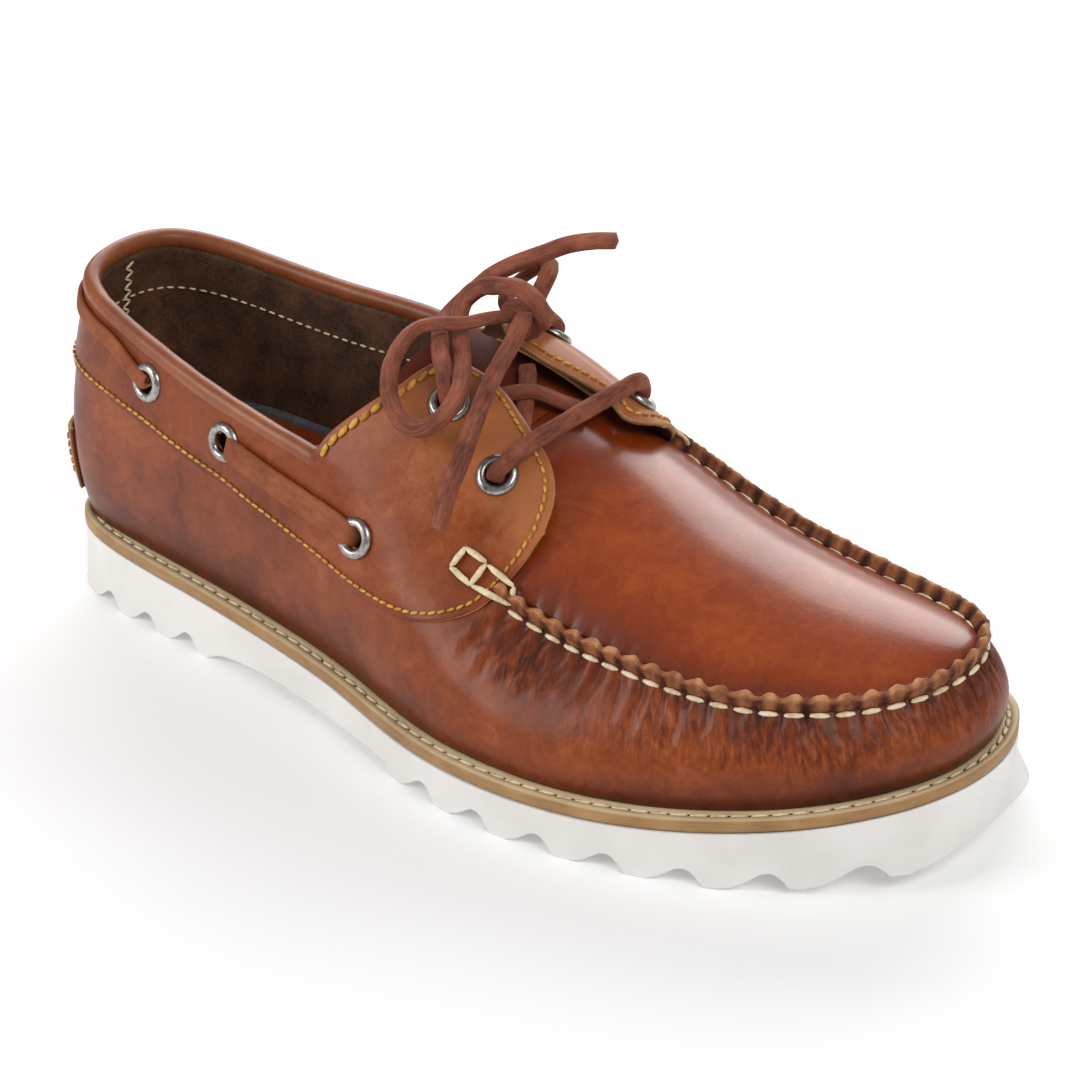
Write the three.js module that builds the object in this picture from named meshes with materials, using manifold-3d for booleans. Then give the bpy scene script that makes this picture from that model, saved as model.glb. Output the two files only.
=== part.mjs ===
// Right-foot boat shoe, EU 42, standing empty on its cleated wedge outsole.
// Millimetres, +Z up, toe towards -Y, outer (lateral) side towards -X, origin at the bottom centre of its box.
//
// Inside this file a point of the shoe is (s, w, z): s runs forward from the back of the heel, w runs out
// to the lateral side from the heel axis, and z is the height above the ground.
import * as THREE from "three";
import { mergeVertices } from "three/addons/utils/BufferGeometryUtils.js";
import Module from "manifold-3d";

const wasm = await Module();
wasm.setup();

// ---------------------------------------------------------------- driving dimensions
const LENGTH = 288; // welt edge, heel to toe
const BALL_WIDTH = 112; // welt edge across the ball
const COLLAR_HEIGHT = 97; // topline above the ground at the back of the heel
const CROWN_HEIGHT = 20; // how far the instep rises over a line between its two shoulders
const UPPER_WALL = 2.2; // lined leather
const WELT_THICKNESS = 4;
const INSOLE_THICKNESS = 3;
const GAP = 0.3; // between neighbouring pieces
const LACE_THICKNESS = 4;
const KNOT_RADIUS = 3.4;
const SIDE_LACE_WIDTH = 7;
const SIDE_LACE_THICKNESS = 1.5;
const EYELET_RADIUS = 5.6;
const EYELET_HOLE_RADIUS = 2.9;
const EYELET_BARREL_RADIUS = 3.5;
const PUNCH_RADIUS = 4.1; // hole in the leather round the eyelet's barrel
const PATCH_THICKNESS = 1.5;
const COLLAR_ROLL_HEIGHT = 5.6;
const COLLAR_ROLL_WIDTH = 5;

// ---------------------------------------------------------------- stations round the shoe
// One row for each section, from the back of the heel along the lateral side to the toe (row 12) and back
// along the medial side. All lengths are per cent: s and topS of LENGTH, w and topW of BALL_WIDTH, topZ of
// COLLAR_HEIGHT. s, w lie on the welt's edge. topS, topW, topZ lie on the line that ends the side wall: the
// topline at the rear, the shoulder of the instep in the middle, and the apron's seam at the front.
// margin (mm) is the welt that shows outside the upper. belly and lean (mm) say how far the wall swells low down
// and how far it still stands out below that line.
const STATIONS = [
  { s: 0.0, w: 0.0, topS: 1.7, topW: -0.9, topZ: 100.0, margin: 1.2, belly: 8, lean: 3 },
  { s: 2.1, w: 20.5, topS: 3.5, topW: 15.6, topZ: 97.5, margin: 2, belly: 7.5, lean: 3.5 },
  { s: 10.8, w: 29.9, topS: 10.8, topW: 23.2, topZ: 92.0, margin: 4, belly: 4.5, lean: 5 },
  { s: 21.2, w: 33.0, topS: 20.8, topW: 27.7, topZ: 85.5, margin: 4.6, belly: 4, lean: 4.5 },
  { s: 31.9, w: 36.6, topS: 30.9, topW: 30.4, topZ: 80.0, margin: 4.6, belly: 3, lean: 4.5 },
  { s: 42.4, w: 42.0, topS: 41.3, topW: 31.7, topZ: 74.2, margin: 4.6, belly: 3, lean: 7 },
  { s: 52.8, w: 50.0, topS: 51.7, topW: 33.0, topZ: 62.4, margin: 4.6, belly: 3, lean: 9 },
  { s: 63.5, w: 53.6, topS: 62.5, topW: 33.0, topZ: 51.0, margin: 4.6, belly: 4, lean: 9 },
  { s: 74.3, w: 50.4, topS: 72.2, topW: 33.9, topZ: 48.2, margin: 4.6, belly: 4, lean: 8 },
  { s: 84.4, w: 41.5, topS: 81.6, topW: 31.2, topZ: 46.7, margin: 4.6, belly: 4, lean: 6.5 },
  { s: 92.7, w: 28.6, topS: 89.2, topW: 22.3, topZ: 47.2, margin: 4.6, belly: 4, lean: 5.5 },
  { s: 98.3, w: 11.6, topS: 94.3, topW: 8.5, topZ: 49.0, margin: 4.6, belly: 4, lean: 6 },
  { s: 99.8, w: -8.0, topS: 96.0, topW: -9.5, topZ: 50.5, margin: 4.6, belly: 4, lean: 6 },
  { s: 97.2, w: -27.7, topS: 93.2, topW: -23.0, topZ: 51.0, margin: 4.6, belly: 4, lean: 6 },
  { s: 91.3, w: -41.0, topS: 86.8, topW: -27.7, topZ: 51.5, margin: 4.6, belly: 4, lean: 7 },
  { s: 82.3, w: -46.0, topS: 79.5, topW: -30.4, topZ: 52.6, margin: 4.6, belly: 4, lean: 8 },
  { s: 72.2, w: -46.4, topS: 70.8, topW: -32.1, topZ: 56.7, margin: 4.6, belly: 3.5, lean: 8 },
  { s: 61.8, w: -44.6, topS: 62.5, topW: -33.0, topZ: 64.4, margin: 4.6, belly: 3, lean: 7 },
  { s: 51.4, w: -40.6, topS: 52.1, topW: -33.0, topZ: 74.7, margin: 4.6, belly: 2.5, lean: 6 },
  { s: 41.0, w: -36.2, topS: 41.7, topW: -31.2, topZ: 84.5, margin: 4.6, belly: 2.5, lean: 5 },
  { s: 30.6, w: -33.0, topS: 31.2, topW: -29.5, topZ: 89.7, margin: 4.6, belly: 2.5, lean: 4 },
  { s: 20.1, w: -31.7, topS: 20.8, topW: -27.2, topZ: 91.2, margin: 4.6, belly: 3, lean: 4 },
  { s: 10.1, w: -28.6, topS: 10.4, topW: -24.1, topZ: 94.8, margin: 4, belly: 4, lean: 4.5 },
  { s: 2.8, w: -17.0, topS: 3.5, topW: -16.5, topZ: 98.5, margin: 2, belly: 7.5, lean: 4 },
];
const TURN = STATIONS.length;
const TOE = TURN / 2;

// Rise of the top over the line between paired stations (lateral t and medial TURN - t), per cent of CROWN_HEIGHT.
const CROWN = [
  { station: 3.5, rise: 125 },
  { station: 4, rise: 112 },
  { station: 5, rise: 92 },
  { station: 6, rise: 88 },
  { station: 7, rise: 85 },
  { station: 8, rise: 72 },
  { station: 9, rise: 57 },
  { station: 10, rise: 41 },
  { station: 11, rise: 23 },
  { station: 11.6, rise: 12 },
  { station: 12, rise: 0 },
];

// Top of the outsole: heel, waist, ball and toe spring.
const SOLE_TOP = [
  { s: -8, z: 19.4 },
  { s: 30, z: 18.2 },
  { s: 60, z: 16.4 },
  { s: 100, z: 13.6 },
  { s: 143, z: 11.0 },
  { s: 182, z: 11.2 },
  { s: 217, z: 12.6 },
  { s: 248, z: 16.2 },
  { s: 275, z: 21.4 },
  { s: 300, z: 28.0 },
];

// Cleats: each has a flat land, a slow rise towards the toe and a steep drop on to the next land.
const HEEL_LANDS = { first: 28.5, pitch: 17, count: 3 };
const FORE_LANDS = { first: 145, pitch: 18.9, count: 8 };
const LAND_WIDTH = 3.6;
const GROOVE_HEIGHT = 4.4;
const TOE_SPRING = [
  { s: 0, z: 0 },
  { s: 110, z: 0 },
  { s: 228, z: 0 },
  { s: 240, z: 0.2 },
  { s: 259, z: 2.0 },
  { s: 278, z: 4.8 },
  { s: 300, z: 9.5 },
];
const ARCH = [
  { s: 72, z: 2.6 },
  { s: 80, z: 3.7 },
  { s: 90, z: 4.2 },
  { s: 104, z: 3.8 },
  { s: 122, z: 3.2 },
  { s: 142, z: 3.0 },
  { s: 143.6, z: 2.2 },
];

// ---------------------------------------------------------------- smooth curves
/** Closed curve through evenly numbered values, as a cubic B-spline whose control values are relaxed. */
function closedCurve(values) {
  const n = values.length;
  let control = [...values];
  for (let round = 0; round < 40; round++) {
    control = control.map((_, i) => (6 * values[i] - control[(i + n - 1) % n] - control[(i + 1) % n]) / 4);
  }
  return (t) => {
    const i = Math.floor(t);
    const f = t - i;
    const at = (k) => control[(((i + k) % n) + n) % n];
    const near = (3 * f ** 3 - 6 * f ** 2 + 4) * at(0) + (-3 * f ** 3 + 3 * f ** 2 + 3 * f + 1) * at(1);
    return ((1 - f) ** 3 * at(-1) + near + f ** 3 * at(2)) / 6;
  };
}

/** Open curve y(x) through rows, as a cubic Hermite with slopes between neighbours. */
function openCurve(rows, xName, yName) {
  const xs = rows.map((row) => row[xName]);
  const ys = rows.map((row) => row[yName]);
  const last = xs.length - 1;
  const slope = (i) => {
    const a = Math.max(i - 1, 0);
    const b = Math.min(i + 1, last);
    return (ys[b] - ys[a]) / (xs[b] - xs[a]);
  };
  return (x) => {
    let i = 0;
    while (i < last - 1 && x > xs[i + 1]) i++;
    const h = xs[i + 1] - xs[i];
    const f = THREE.MathUtils.clamp((x - xs[i]) / h, 0, 1);
    const start = (1 + 2 * f) * (1 - f) ** 2 * ys[i] + f * (1 - f) ** 2 * h * slope(i);
    return start + f * f * (3 - 2 * f) * ys[i + 1] + f * f * (f - 1) * h * slope(i + 1);
  };
}

const column = (name, scale) => closedCurve(STATIONS.map((row) => row[name] * scale));
const edgeS = column("s", LENGTH / 100);
const edgeW = column("w", BALL_WIDTH / 100);
const topS = column("topS", LENGTH / 100);
const topW = column("topW", BALL_WIDTH / 100);
const topZ = column("topZ", COLLAR_HEIGHT / 100);
const margin = column("margin", 1);
const belly = column("belly", 1);
const lean = column("lean", 1);
const crown = openCurve(CROWN, "station", "rise");
const soleTop = openCurve(SOLE_TOP, "s", "z");
const toeCurve = openCurve(TOE_SPRING, "s", "z");
const toeSpring = (s) => Math.max(0, toeCurve(s)); // the lands behind the toe lie on the ground

/** Shoe point to model point. */
const place = (s, w, z) => new THREE.Vector3(-w, -s, z);

/** Outward direction of the welt's edge at station t, as (s, w). */
function edgeNormal(t) {
  const ds = edgeS(t + 0.05) - edgeS(t - 0.05);
  const dw = edgeW(t + 0.05) - edgeW(t - 0.05);
  const length = Math.hypot(ds, dw);
  return { s: -dw / length, w: ds / length };
}

// ---------------------------------------------------------------- the last's surface
/** Side wall at station t: q = 0 on the welt, q = 1 on the line that ends the wall. */
function wallPoint(t, q) {
  const out = edgeNormal(t);
  const footS = edgeS(t) - out.s * margin(t);
  const footW = edgeW(t) - out.w * margin(t);
  const foot = place(footS, footW, soleTop(footS) + WELT_THICKNESS + GAP);
  const top = place(topS(t), topW(t), topZ(t));
  const height = top.z - foot.z;
  const outward = place(out.s, out.w, 0);
  const low = foot.clone().addScaledVector(outward, belly(t)).add(place(0, 0, 0.4 * height));
  const high = top.clone().addScaledVector(outward, lean(t)).add(place(0, 0, -0.3 * height));
  return new THREE.CubicBezierCurve3(foot, low, high, top).getPoint(q);
}

/** Top of the last between paired stations: u = 0 on the lateral shoulder or seam, u = 2 on the medial one. */
function topPoint(t, u) {
  const lateral = place(topS(t), topW(t), topZ(t));
  const medial = place(topS(TURN - t), topW(TURN - t), topZ(TURN - t));
  const across = u - 1;
  const rise = (crown(t) * CROWN_HEIGHT) / 100;
  return lateral.lerp(medial, u / 2).add(place(0, 0, rise * (1 - across * across)));
}

/** Wall and top in one: q up to 1 climbs the wall, q from 1 to 2 crosses to the middle of the top. */
function lastPoint(t, q) {
  if (q <= 1) return wallPoint(t, q);
  return t <= TOE ? topPoint(t, q - 1) : topPoint(TURN - t, 3 - q);
}

/** Unit normal of a surface function, pointing out of the last. */
function normalOf(surface, t, q) {
  const step = 0.02;
  const along = surface(t + step, q).sub(surface(t - step, q));
  const up = surface(t, q + step).sub(surface(t, q - step));
  return along.cross(up).normalize();
}

// ---------------------------------------------------------------- solids
/** Manifold solid from vertices and triangles, turned right side out. */
function solid(points, triangles) {
  const vertProperties = new Float32Array(points.flatMap((p) => [p.x, p.y, p.z]));
  const forward = new wasm.Manifold(new wasm.Mesh({ numProp: 3, vertProperties, triVerts: new Uint32Array(triangles) }));
  if (forward.volume() > 0) return forward;
  const turned = [];
  for (let i = 0; i < triangles.length; i += 3) turned.push(triangles[i], triangles[i + 2], triangles[i + 1]);
  return new wasm.Manifold(new wasm.Mesh({ numProp: 3, vertProperties, triVerts: new Uint32Array(turned) }));
}

/** Manifold solid from a closed three.js geometry. */
function solidOf(geometry) {
  const bare = geometry.clone();
  bare.deleteAttribute("normal");
  bare.deleteAttribute("uv");
  const merged = mergeVertices(bare, 1e-4);
  const position = merged.attributes.position;
  const points = [];
  for (let i = 0; i < position.count; i++) points.push(new THREE.Vector3().fromBufferAttribute(position, i));
  return solid(points, [...merged.index.array]);
}

/** three.js geometry from a manifold solid. */
function geometryOf(shape) {
  const { vertProperties, triVerts, numProp } = shape.getMesh();
  const position = new Float32Array((vertProperties.length / numProp) * 3);
  for (let i = 0; i < position.length / 3; i++) {
    for (let axis = 0; axis < 3; axis++) position[3 * i + axis] = vertProperties[numProp * i + axis];
  }
  const geometry = new THREE.BufferGeometry();
  geometry.setAttribute("position", new THREE.BufferAttribute(position, 3));
  geometry.setIndex([...triVerts]);
  geometry.computeVertexNormals();
  return geometry;
}

/** Closed tube of rings of points; the ends are capped unless the rings run round to the first again. */
function ringSolid(rings, closed) {
  const points = rings.flat();
  const size = rings[0].length;
  const triangles = [];
  const steps = closed ? rings.length : rings.length - 1;
  for (let i = 0; i < steps; i++) {
    for (let j = 0; j < size; j++) {
      const a = i * size + j;
      const b = i * size + ((j + 1) % size);
      const c = ((i + 1) % rings.length) * size + j;
      const d = ((i + 1) % rings.length) * size + ((j + 1) % size);
      triangles.push(a, c, b, b, c, d);
    }
  }
  if (!closed) {
    const lastRing = (rings.length - 1) * size;
    for (let j = 1; j < size - 1; j++) {
      triangles.push(0, j, j + 1, lastRing, lastRing + j + 1, lastRing + j);
    }
  }
  return solid(points, triangles);
}

/** Even steps from a to b. */
const steps = (a, b, count) => Array.from({ length: count + 1 }, (_, i) => a + ((b - a) * i) / count);

/**
 * Wall of leather on a surface: each ring runs over the outer face and back along the inner face.
 * range(t) gives the span of q at t; outer and inner are the offsets of the two faces.
 */
function shell(surface, ts, range, rows, outer, inner, closed = false) {
  const rings = ts.map((t) => {
    const [from, to] = range(t);
    const qs = steps(from, to, rows);
    const offset = (q, distance) => surface(t, q).addScaledVector(normalOf(surface, t, q), distance);
    const outside = qs.map((q) => offset(q, outer));
    const inside = qs.map((q) => offset(q, inner)).reverse();
    return [...outside, ...inside];
  });
  return ringSolid(rings, closed);
}

/** Block with the sole's outline, grown by grow(t), plus flare(t) at the ground that fades with height. */
function outlineBlock(grow, flare) {
  const low = -6;
  const high = 60;
  const fadeHeight = 14;
  const ts = steps(0, TURN, 60).slice(0, -1);
  const ring = (z) =>
    ts.map((t) => {
      const out = edgeNormal(t);
      const reach = grow(t) + flare(t) * (1 - z / fadeHeight);
      return place(edgeS(t) + out.s * reach, edgeW(t) + out.w * reach, z);
    });
  const upright = (z) =>
    ts.map((t) => {
      const out = edgeNormal(t);
      return place(edgeS(t) + out.s * grow(t), edgeW(t) + out.w * grow(t), z);
    });
  const rings = [ring(low), ring(fadeHeight), upright(high)];
  const size = ts.length;
  const centres = [place(LENGTH / 2, 2, low), place(LENGTH / 2, 2, high)];
  const points = [...rings.flat(), ...centres];
  const triangles = [];
  for (let level = 0; level < rings.length - 1; level++) {
    for (let j = 0; j < size; j++) {
      const a = level * size + j;
      const b = level * size + ((j + 1) % size);
      triangles.push(a, b, a + size, b, b + size, a + size);
    }
  }
  const topRing = (rings.length - 1) * size;
  for (let j = 0; j < size; j++) {
    const next = (j + 1) % size;
    triangles.push(next, j, points.length - 2, topRing + j, topRing + next, points.length - 1);
  }
  return solid(points, triangles);
}

/** Slab with the given side profile of (s, z) points, right across the shoe. */
function sideSlab(profile) {
  const shape = new THREE.Shape(profile.map((p) => new THREE.Vector2(p.s, p.z)));
  const width = BALL_WIDTH * 1.4;
  const geometry = new THREE.ExtrudeGeometry(shape, { depth: width, bevelEnabled: false });
  // Shape x runs forward (-Y), shape y runs up (+Z), and the depth runs across (X).
  const basis = new THREE.Matrix4().makeBasis(
    new THREE.Vector3(0, -1, 0),
    new THREE.Vector3(0, 0, 1),
    new THREE.Vector3(-1, 0, 0)
  );
  geometry.applyMatrix4(basis);
  geometry.translate(width / 2, 0, 0);
  return solidOf(geometry);
}

const none = () => 0;

// ---------------------------------------------------------------- sole
/** Side profile between two heights over the sole's top line. */
function topBand(low, high) {
  const along = steps(-8, 300, 44);
  const lower = along.map((s) => ({ s, z: soleTop(s) + low }));
  const upper = along.map((s) => ({ s, z: soleTop(s) + high })).reverse();
  return [...lower, ...upper];
}

/** One cleat from its land to the top of the groove in front of it, with the drop on to the next land. */
function cleat(start, pitch) {
  const shares = [
    { along: 0.47, height: 0.5 },
    { along: 0.62, height: 0.86 },
    { along: 0.71, height: 1 },
    { along: 0.8, height: 0.95 },
    { along: 0.9, height: 0.55 },
  ];
  const land = [start, start + LAND_WIDTH].map((s) => ({ s, z: toeSpring(start) }));
  const groove = shares.map((share) => {
    const s = start + share.along * pitch;
    return { s, z: toeSpring(start + share.along * pitch) + share.height * GROOVE_HEIGHT };
  });
  return [...land, ...groove];
}

/** White cleated outsole: heel lands, hollow under the arch, forefoot lands and toe spring. */
function outsole() {
  const heelStart = { s: -8, z: 0 };
  const heelEnd = { s: HEEL_LANDS.first - HEEL_LANDS.pitch + LAND_WIDTH, z: 0 };
  const bottom = [heelStart, heelEnd, ...cleat(HEEL_LANDS.first - HEEL_LANDS.pitch, HEEL_LANDS.pitch).slice(2)];
  for (let i = 0; i < HEEL_LANDS.count - 1; i++) {
    bottom.push(...cleat(HEEL_LANDS.first + i * HEEL_LANDS.pitch, HEEL_LANDS.pitch));
  }
  const lastHeel = HEEL_LANDS.first + (HEEL_LANDS.count - 1) * HEEL_LANDS.pitch;
  bottom.push({ s: lastHeel, z: 0 }, { s: lastHeel + LAND_WIDTH, z: 0 }, ...ARCH);
  for (let i = 0; i < FORE_LANDS.count; i++) {
    bottom.push(...cleat(FORE_LANDS.first + i * FORE_LANDS.pitch, FORE_LANDS.pitch));
  }
  const within = bottom.filter((p) => p.s < LENGTH + 2);
  const profile = [...within, { s: 300, z: toeSpring(300) + 1 }];
  const top = steps(300, -8, 44).map((s) => ({ s, z: soleTop(s) }));
  const toeCorner = TOE + 1;
  const flare = closedCurve(STATIONS.map((row, i) => 0.9 + 5.9 * Math.exp(-(((i - toeCorner) / 1.9) ** 2))));
  return sideSlab([...profile, ...top]).intersect(outlineBlock(none, flare));
}

/** Tan welt and midsole in one plate under the upper. */
function welt() {
  return sideSlab(topBand(GAP, WELT_THICKNESS)).intersect(outlineBlock(none, none));
}

/** Sock and insole inside the shoe. */
function insole() {
  const inset = (t) => -(margin(t) + UPPER_WALL + 0.8);
  const low = WELT_THICKNESS + GAP;
  return sideSlab(topBand(low, low + INSOLE_THICKNESS)).intersect(outlineBlock(inset, none));
}

// ---------------------------------------------------------------- upper
const THROAT = 6.55; // station where the apron's seam starts
const APRON_END = 6.1; // station where the apron runs on under the tabs as far as the tongue
const COLLAR_END = 4.67; // station where the topline meets the eyestay
const WALL_RINGS = 3 * TURN; // sections of the side wall, three for each station

/** 1 along the topline, 0 in front of it, with a short fade. */
function onCollar(t) {
  const fromHeel = Math.min(((t % TURN) + TURN) % TURN, TURN - (((t % TURN) + TURN) % TURN));
  return 1 - THREE.MathUtils.smoothstep(fromHeel, COLLAR_END, COLLAR_END + 0.2);
}

/** The q of the wall point that lies the given distance below the top of the wall at station t. */
function belowTop(t, distance) {
  const top = wallPoint(t, 1);
  let low = 0;
  let high = 1;
  for (let round = 0; round < 24; round++) {
    const middle = (low + high) / 2;
    if (wallPoint(t, middle).distanceTo(top) > distance) low = middle;
    else high = middle;
  }
  return low;
}

/** Side wall all round, open at the collar and underneath. */
function sideWall() {
  const ts = steps(0, TURN, WALL_RINGS).slice(0, -1);
  const range = (t) => [0, belowTop(t, onCollar(t) * (COLLAR_ROLL_HEIGHT + 1.5 * GAP))];
  return shell(lastPoint, ts, range, 4, 0, -UPPER_WALL, true);
}

/** Apron: the plug of the moccasin seam, from the tongue to the toe. */
function apron() {
  const ts = [...steps(APRON_END, 11, 13), 11.35, 11.65, 11.88];
  return shell(topPoint, ts, () => [0.0, 2.0], 8, 0, -UPPER_WALL);
}

/** Raised bead of gathered leather along the apron's seam. */
function seamBead() {
  const halfHeight = 2.6;
  const halfWidth = 2;
  const standing = 0.9;
  const sides = 6;
  const rings = steps(THROAT, TURN - THROAT, 40).map((t) => {
    const wallNormal = normalOf(wallPoint, t, 0.98);
    const upright = wallNormal.add(new THREE.Vector3(0, 0, 1)).normalize();
    const along = wallPoint(t + 0.02, 1).sub(wallPoint(t - 0.02, 1)).normalize();
    const across = along.clone().cross(upright).normalize();
    const centre = wallPoint(t, 1).addScaledVector(upright, standing);
    return steps(0, 2 * Math.PI, sides)
      .slice(0, -1)
      .map((angle) =>
        centre
          .clone()
          .addScaledVector(upright, halfHeight * Math.cos(angle))
          .addScaledVector(across, halfWidth * Math.sin(angle))
      );
  });
  return ringSolid(rings, false);
}

// Eyestay tabs: each leaves the wall below the shoulder and stands off the tongue towards its inner edge.
const TAB = {
  lateral: { back: 4.62, front: 7.05, frontSlant: 0.5, reach: 0.8, lift: 6.2, peak: 0.8, endLift: 1 },
  medial: { back: 4.62, front: 7.25, frontSlant: 0.9, reach: 0.64, lift: 8.8, peak: 0.5, endLift: 0.55 },
};
const TAB_DROOP = 1; // share of its lift that a tab loses, for each unit of u past its peak
const TAB_BACK_SLANT = 0.32;
const TAB_FRONT_ROUND = 0.95; // how far the front edge curves back at its foot
const TAB_ROOT = 0.86; // share of the wall's height where the tab's lower edge lies
const TAB_PROUD = 0.7;

/** How far the tab stands off the last at distance u past the shoulder; endLift is the share at its two ends. */
function tabLift(tab, x, u) {
  const share = tab.endLift + (1 - tab.endLift) * Math.sin(Math.PI * THREE.MathUtils.clamp(x, 0, 1));
  const rise = Math.sin(Math.min(1, u / tab.peak) * (Math.PI / 2)) - TAB_DROOP * Math.max(0, u - tab.peak);
  return TAB_PROUD + share * tab.lift * rise;
}

/** Point on the tab's outer face: x runs from its back edge to its front edge, q as on the last. */
function tabPoint(tab, x, q) {
  const u = Math.max(0, q - 1);
  const back = tab.back + TAB_BACK_SLANT * u;
  const front = tab.front - tab.frontSlant * u - TAB_FRONT_ROUND * Math.max(0, 1 - u / 0.42) ** 2;
  const t = back + (front - back) * x;
  const station = tab === TAB.lateral ? t : TURN - t;
  return lastPoint(station, q).addScaledVector(normalOf(lastPoint, station, q), tabLift(tab, x, u));
}

/** How far past the shoulder the tab reaches at x, rounded at its corners. */
function tabReach(tab, x) {
  const corner = 4.6;
  return tab.reach * (1 - Math.abs(2 * x - 1) ** corner) ** (1 / corner);
}

/** Eyestay tab, joined to the side wall along its root. */
function eyestayTab(tab) {
  const inset = 0.012;
  const xs = steps(0, 1, 13).map((x) => inset + (1 - 2 * inset) * (0.5 - 0.5 * Math.cos(Math.PI * x)));
  const side = tab === TAB.lateral ? 1 : -1;
  const surface = (x, q) => tabPoint(tab, x, q);
  const rings = xs.map((x) => {
    const qs = steps(TAB_ROOT, 1 + tabReach(tab, x), 6);
    const inward = (q) => normalOf(surface, x, q).multiplyScalar(-side * UPPER_WALL);
    const outside = qs.map((q) => surface(x, q));
    const inside = qs.map((q) => surface(x, q).add(inward(q))).reverse();
    return [...outside, ...inside];
  });
  return ringSolid(rings, false);
}

/** Tongue under the tabs, from the apron's end to its free top. */
function tongue() {
  const topEnd = 4.95;
  const start = APRON_END - 0.04;
  const ts = [topEnd, topEnd + 0.06, topEnd + 0.2, ...steps(topEnd + 0.45, start, 4)];
  const halfWidth = (t) => 0.34 + 0.3 * Math.sqrt(Math.sin((Math.PI / 2) * Math.min(1, (t - topEnd) / 0.9)));
  return shell(topPoint, ts, (t) => [1 - halfWidth(t), 1 + halfWidth(t)], 8, 0, -UPPER_WALL);
}

/** Rolled leather collar round the topline, from eyestay to eyestay. */
function collarRoll() {
  const sides = 8;
  const end = COLLAR_END - 0.13;
  const lastWhole = 13 / 3; // last section that the roll shares with the wall
  const rings = [-end, ...steps(-lastWhole, lastWhole, 26), end].map((t) => {
    const top = wallPoint(t, 1);
    const normal = normalOf(wallPoint, t, 0.95);
    const up = top.clone().sub(wallPoint(t, 0.95)).normalize();
    const centre = top.addScaledVector(up, -COLLAR_ROLL_HEIGHT / 2).addScaledVector(normal, -UPPER_WALL / 2);
    return steps(0, 2 * Math.PI, sides)
      .slice(0, -1)
      .map((angle) =>
        centre
          .clone()
          .addScaledVector(up, (COLLAR_ROLL_HEIGHT / 2) * Math.cos(angle))
          .addScaledVector(normal, (COLLAR_ROLL_WIDTH / 2) * Math.sin(angle))
      );
  });
  return ringSolid(rings, false);
}

/** Small leather patch that stands proud over the back seam, just above the welt. */
function heelPatch() {
  const ts = steps(-1, 1, 6);
  return shell(wallPoint, ts, () => [0.06, 0.29], 3, 2 * GAP + PATCH_THICKNESS, 2 * GAP);
}

// ---------------------------------------------------------------- eyelets
// Side eyelets lie on the wall at (station, q). Tab eyelets lie on the tab at (x, q).
const SIDE_EYELETS = [
  { name: "front", t: 5.22, q: 0.735 },
  { name: "middle", t: 3.54, q: 0.78 },
  { name: "rear", t: 2.48, q: 0.81 },
];
const TAB_EYELETS = [
  { name: "lower", lateral: { x: 0.7, q: 1.455 }, medial: { x: 0.78, q: 1.36 } },
  { name: "upper", lateral: { x: 0.38, q: 1.6 }, medial: { x: 0.36, q: 1.36 } },
];

/** Where an eyelet sits: its centre on the leather and the way it faces. */
function eyeletSeats() {
  const seats = [];
  for (const side of ["lateral", "medial"]) {
    for (const spot of SIDE_EYELETS) {
      const t = side === "lateral" ? spot.t : TURN - spot.t;
      const normal = normalOf(wallPoint, t, spot.q);
      seats.push({ name: `eyelet_${side}_${spot.name}`, centre: wallPoint(t, spot.q), normal });
    }
    const sign = side === "lateral" ? 1 : -1;
    for (const eyelet of TAB_EYELETS) {
      const spot = eyelet[side];
      const surface = (x, q) => tabPoint(TAB[side], x, q);
      const normal = normalOf(surface, spot.x, spot.q).multiplyScalar(sign);
      seats.push({ name: `eyelet_${side}_${eyelet.name}`, centre: surface(spot.x, spot.q), normal });
    }
  }
  return seats;
}

/** Turn a shape that faces +Y so that it faces along the seat's normal, at its centre. */
function seatMatrix(seat) {
  const turn = new THREE.Quaternion().setFromUnitVectors(new THREE.Vector3(0, 1, 0), seat.normal);
  return new THREE.Matrix4().compose(seat.centre, turn, new THREE.Vector3(1, 1, 1));
}

/** Punch that opens the leather under an eyelet. */
function punch(seat) {
  const cylinder = new THREE.CylinderGeometry(PUNCH_RADIUS, PUNCH_RADIUS, 10, 12);
  return solidOf(cylinder.applyMatrix4(seatMatrix(seat)));
}

/** Metal eyelet: a rounded flange outside and a short barrel through the leather. */
function eyeletGeometry(seat) {
  const flange = 0.75; // lowest point of the flange over the middle of the hole
  const profile = [
    [EYELET_HOLE_RADIUS, -1.6],
    [EYELET_BARREL_RADIUS, -1.6],
    [EYELET_BARREL_RADIUS, flange],
    [EYELET_RADIUS, flange],
    [EYELET_HOLE_RADIUS + 1.4, flange + 0.9],
    [EYELET_HOLE_RADIUS, flange + 0.5],
    [EYELET_HOLE_RADIUS, -1.6],
  ].map(([radius, height]) => new THREE.Vector2(radius, height));
  return geometryOf(solidOf(new THREE.LatheGeometry(profile, 10).applyMatrix4(seatMatrix(seat))));
}

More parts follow.
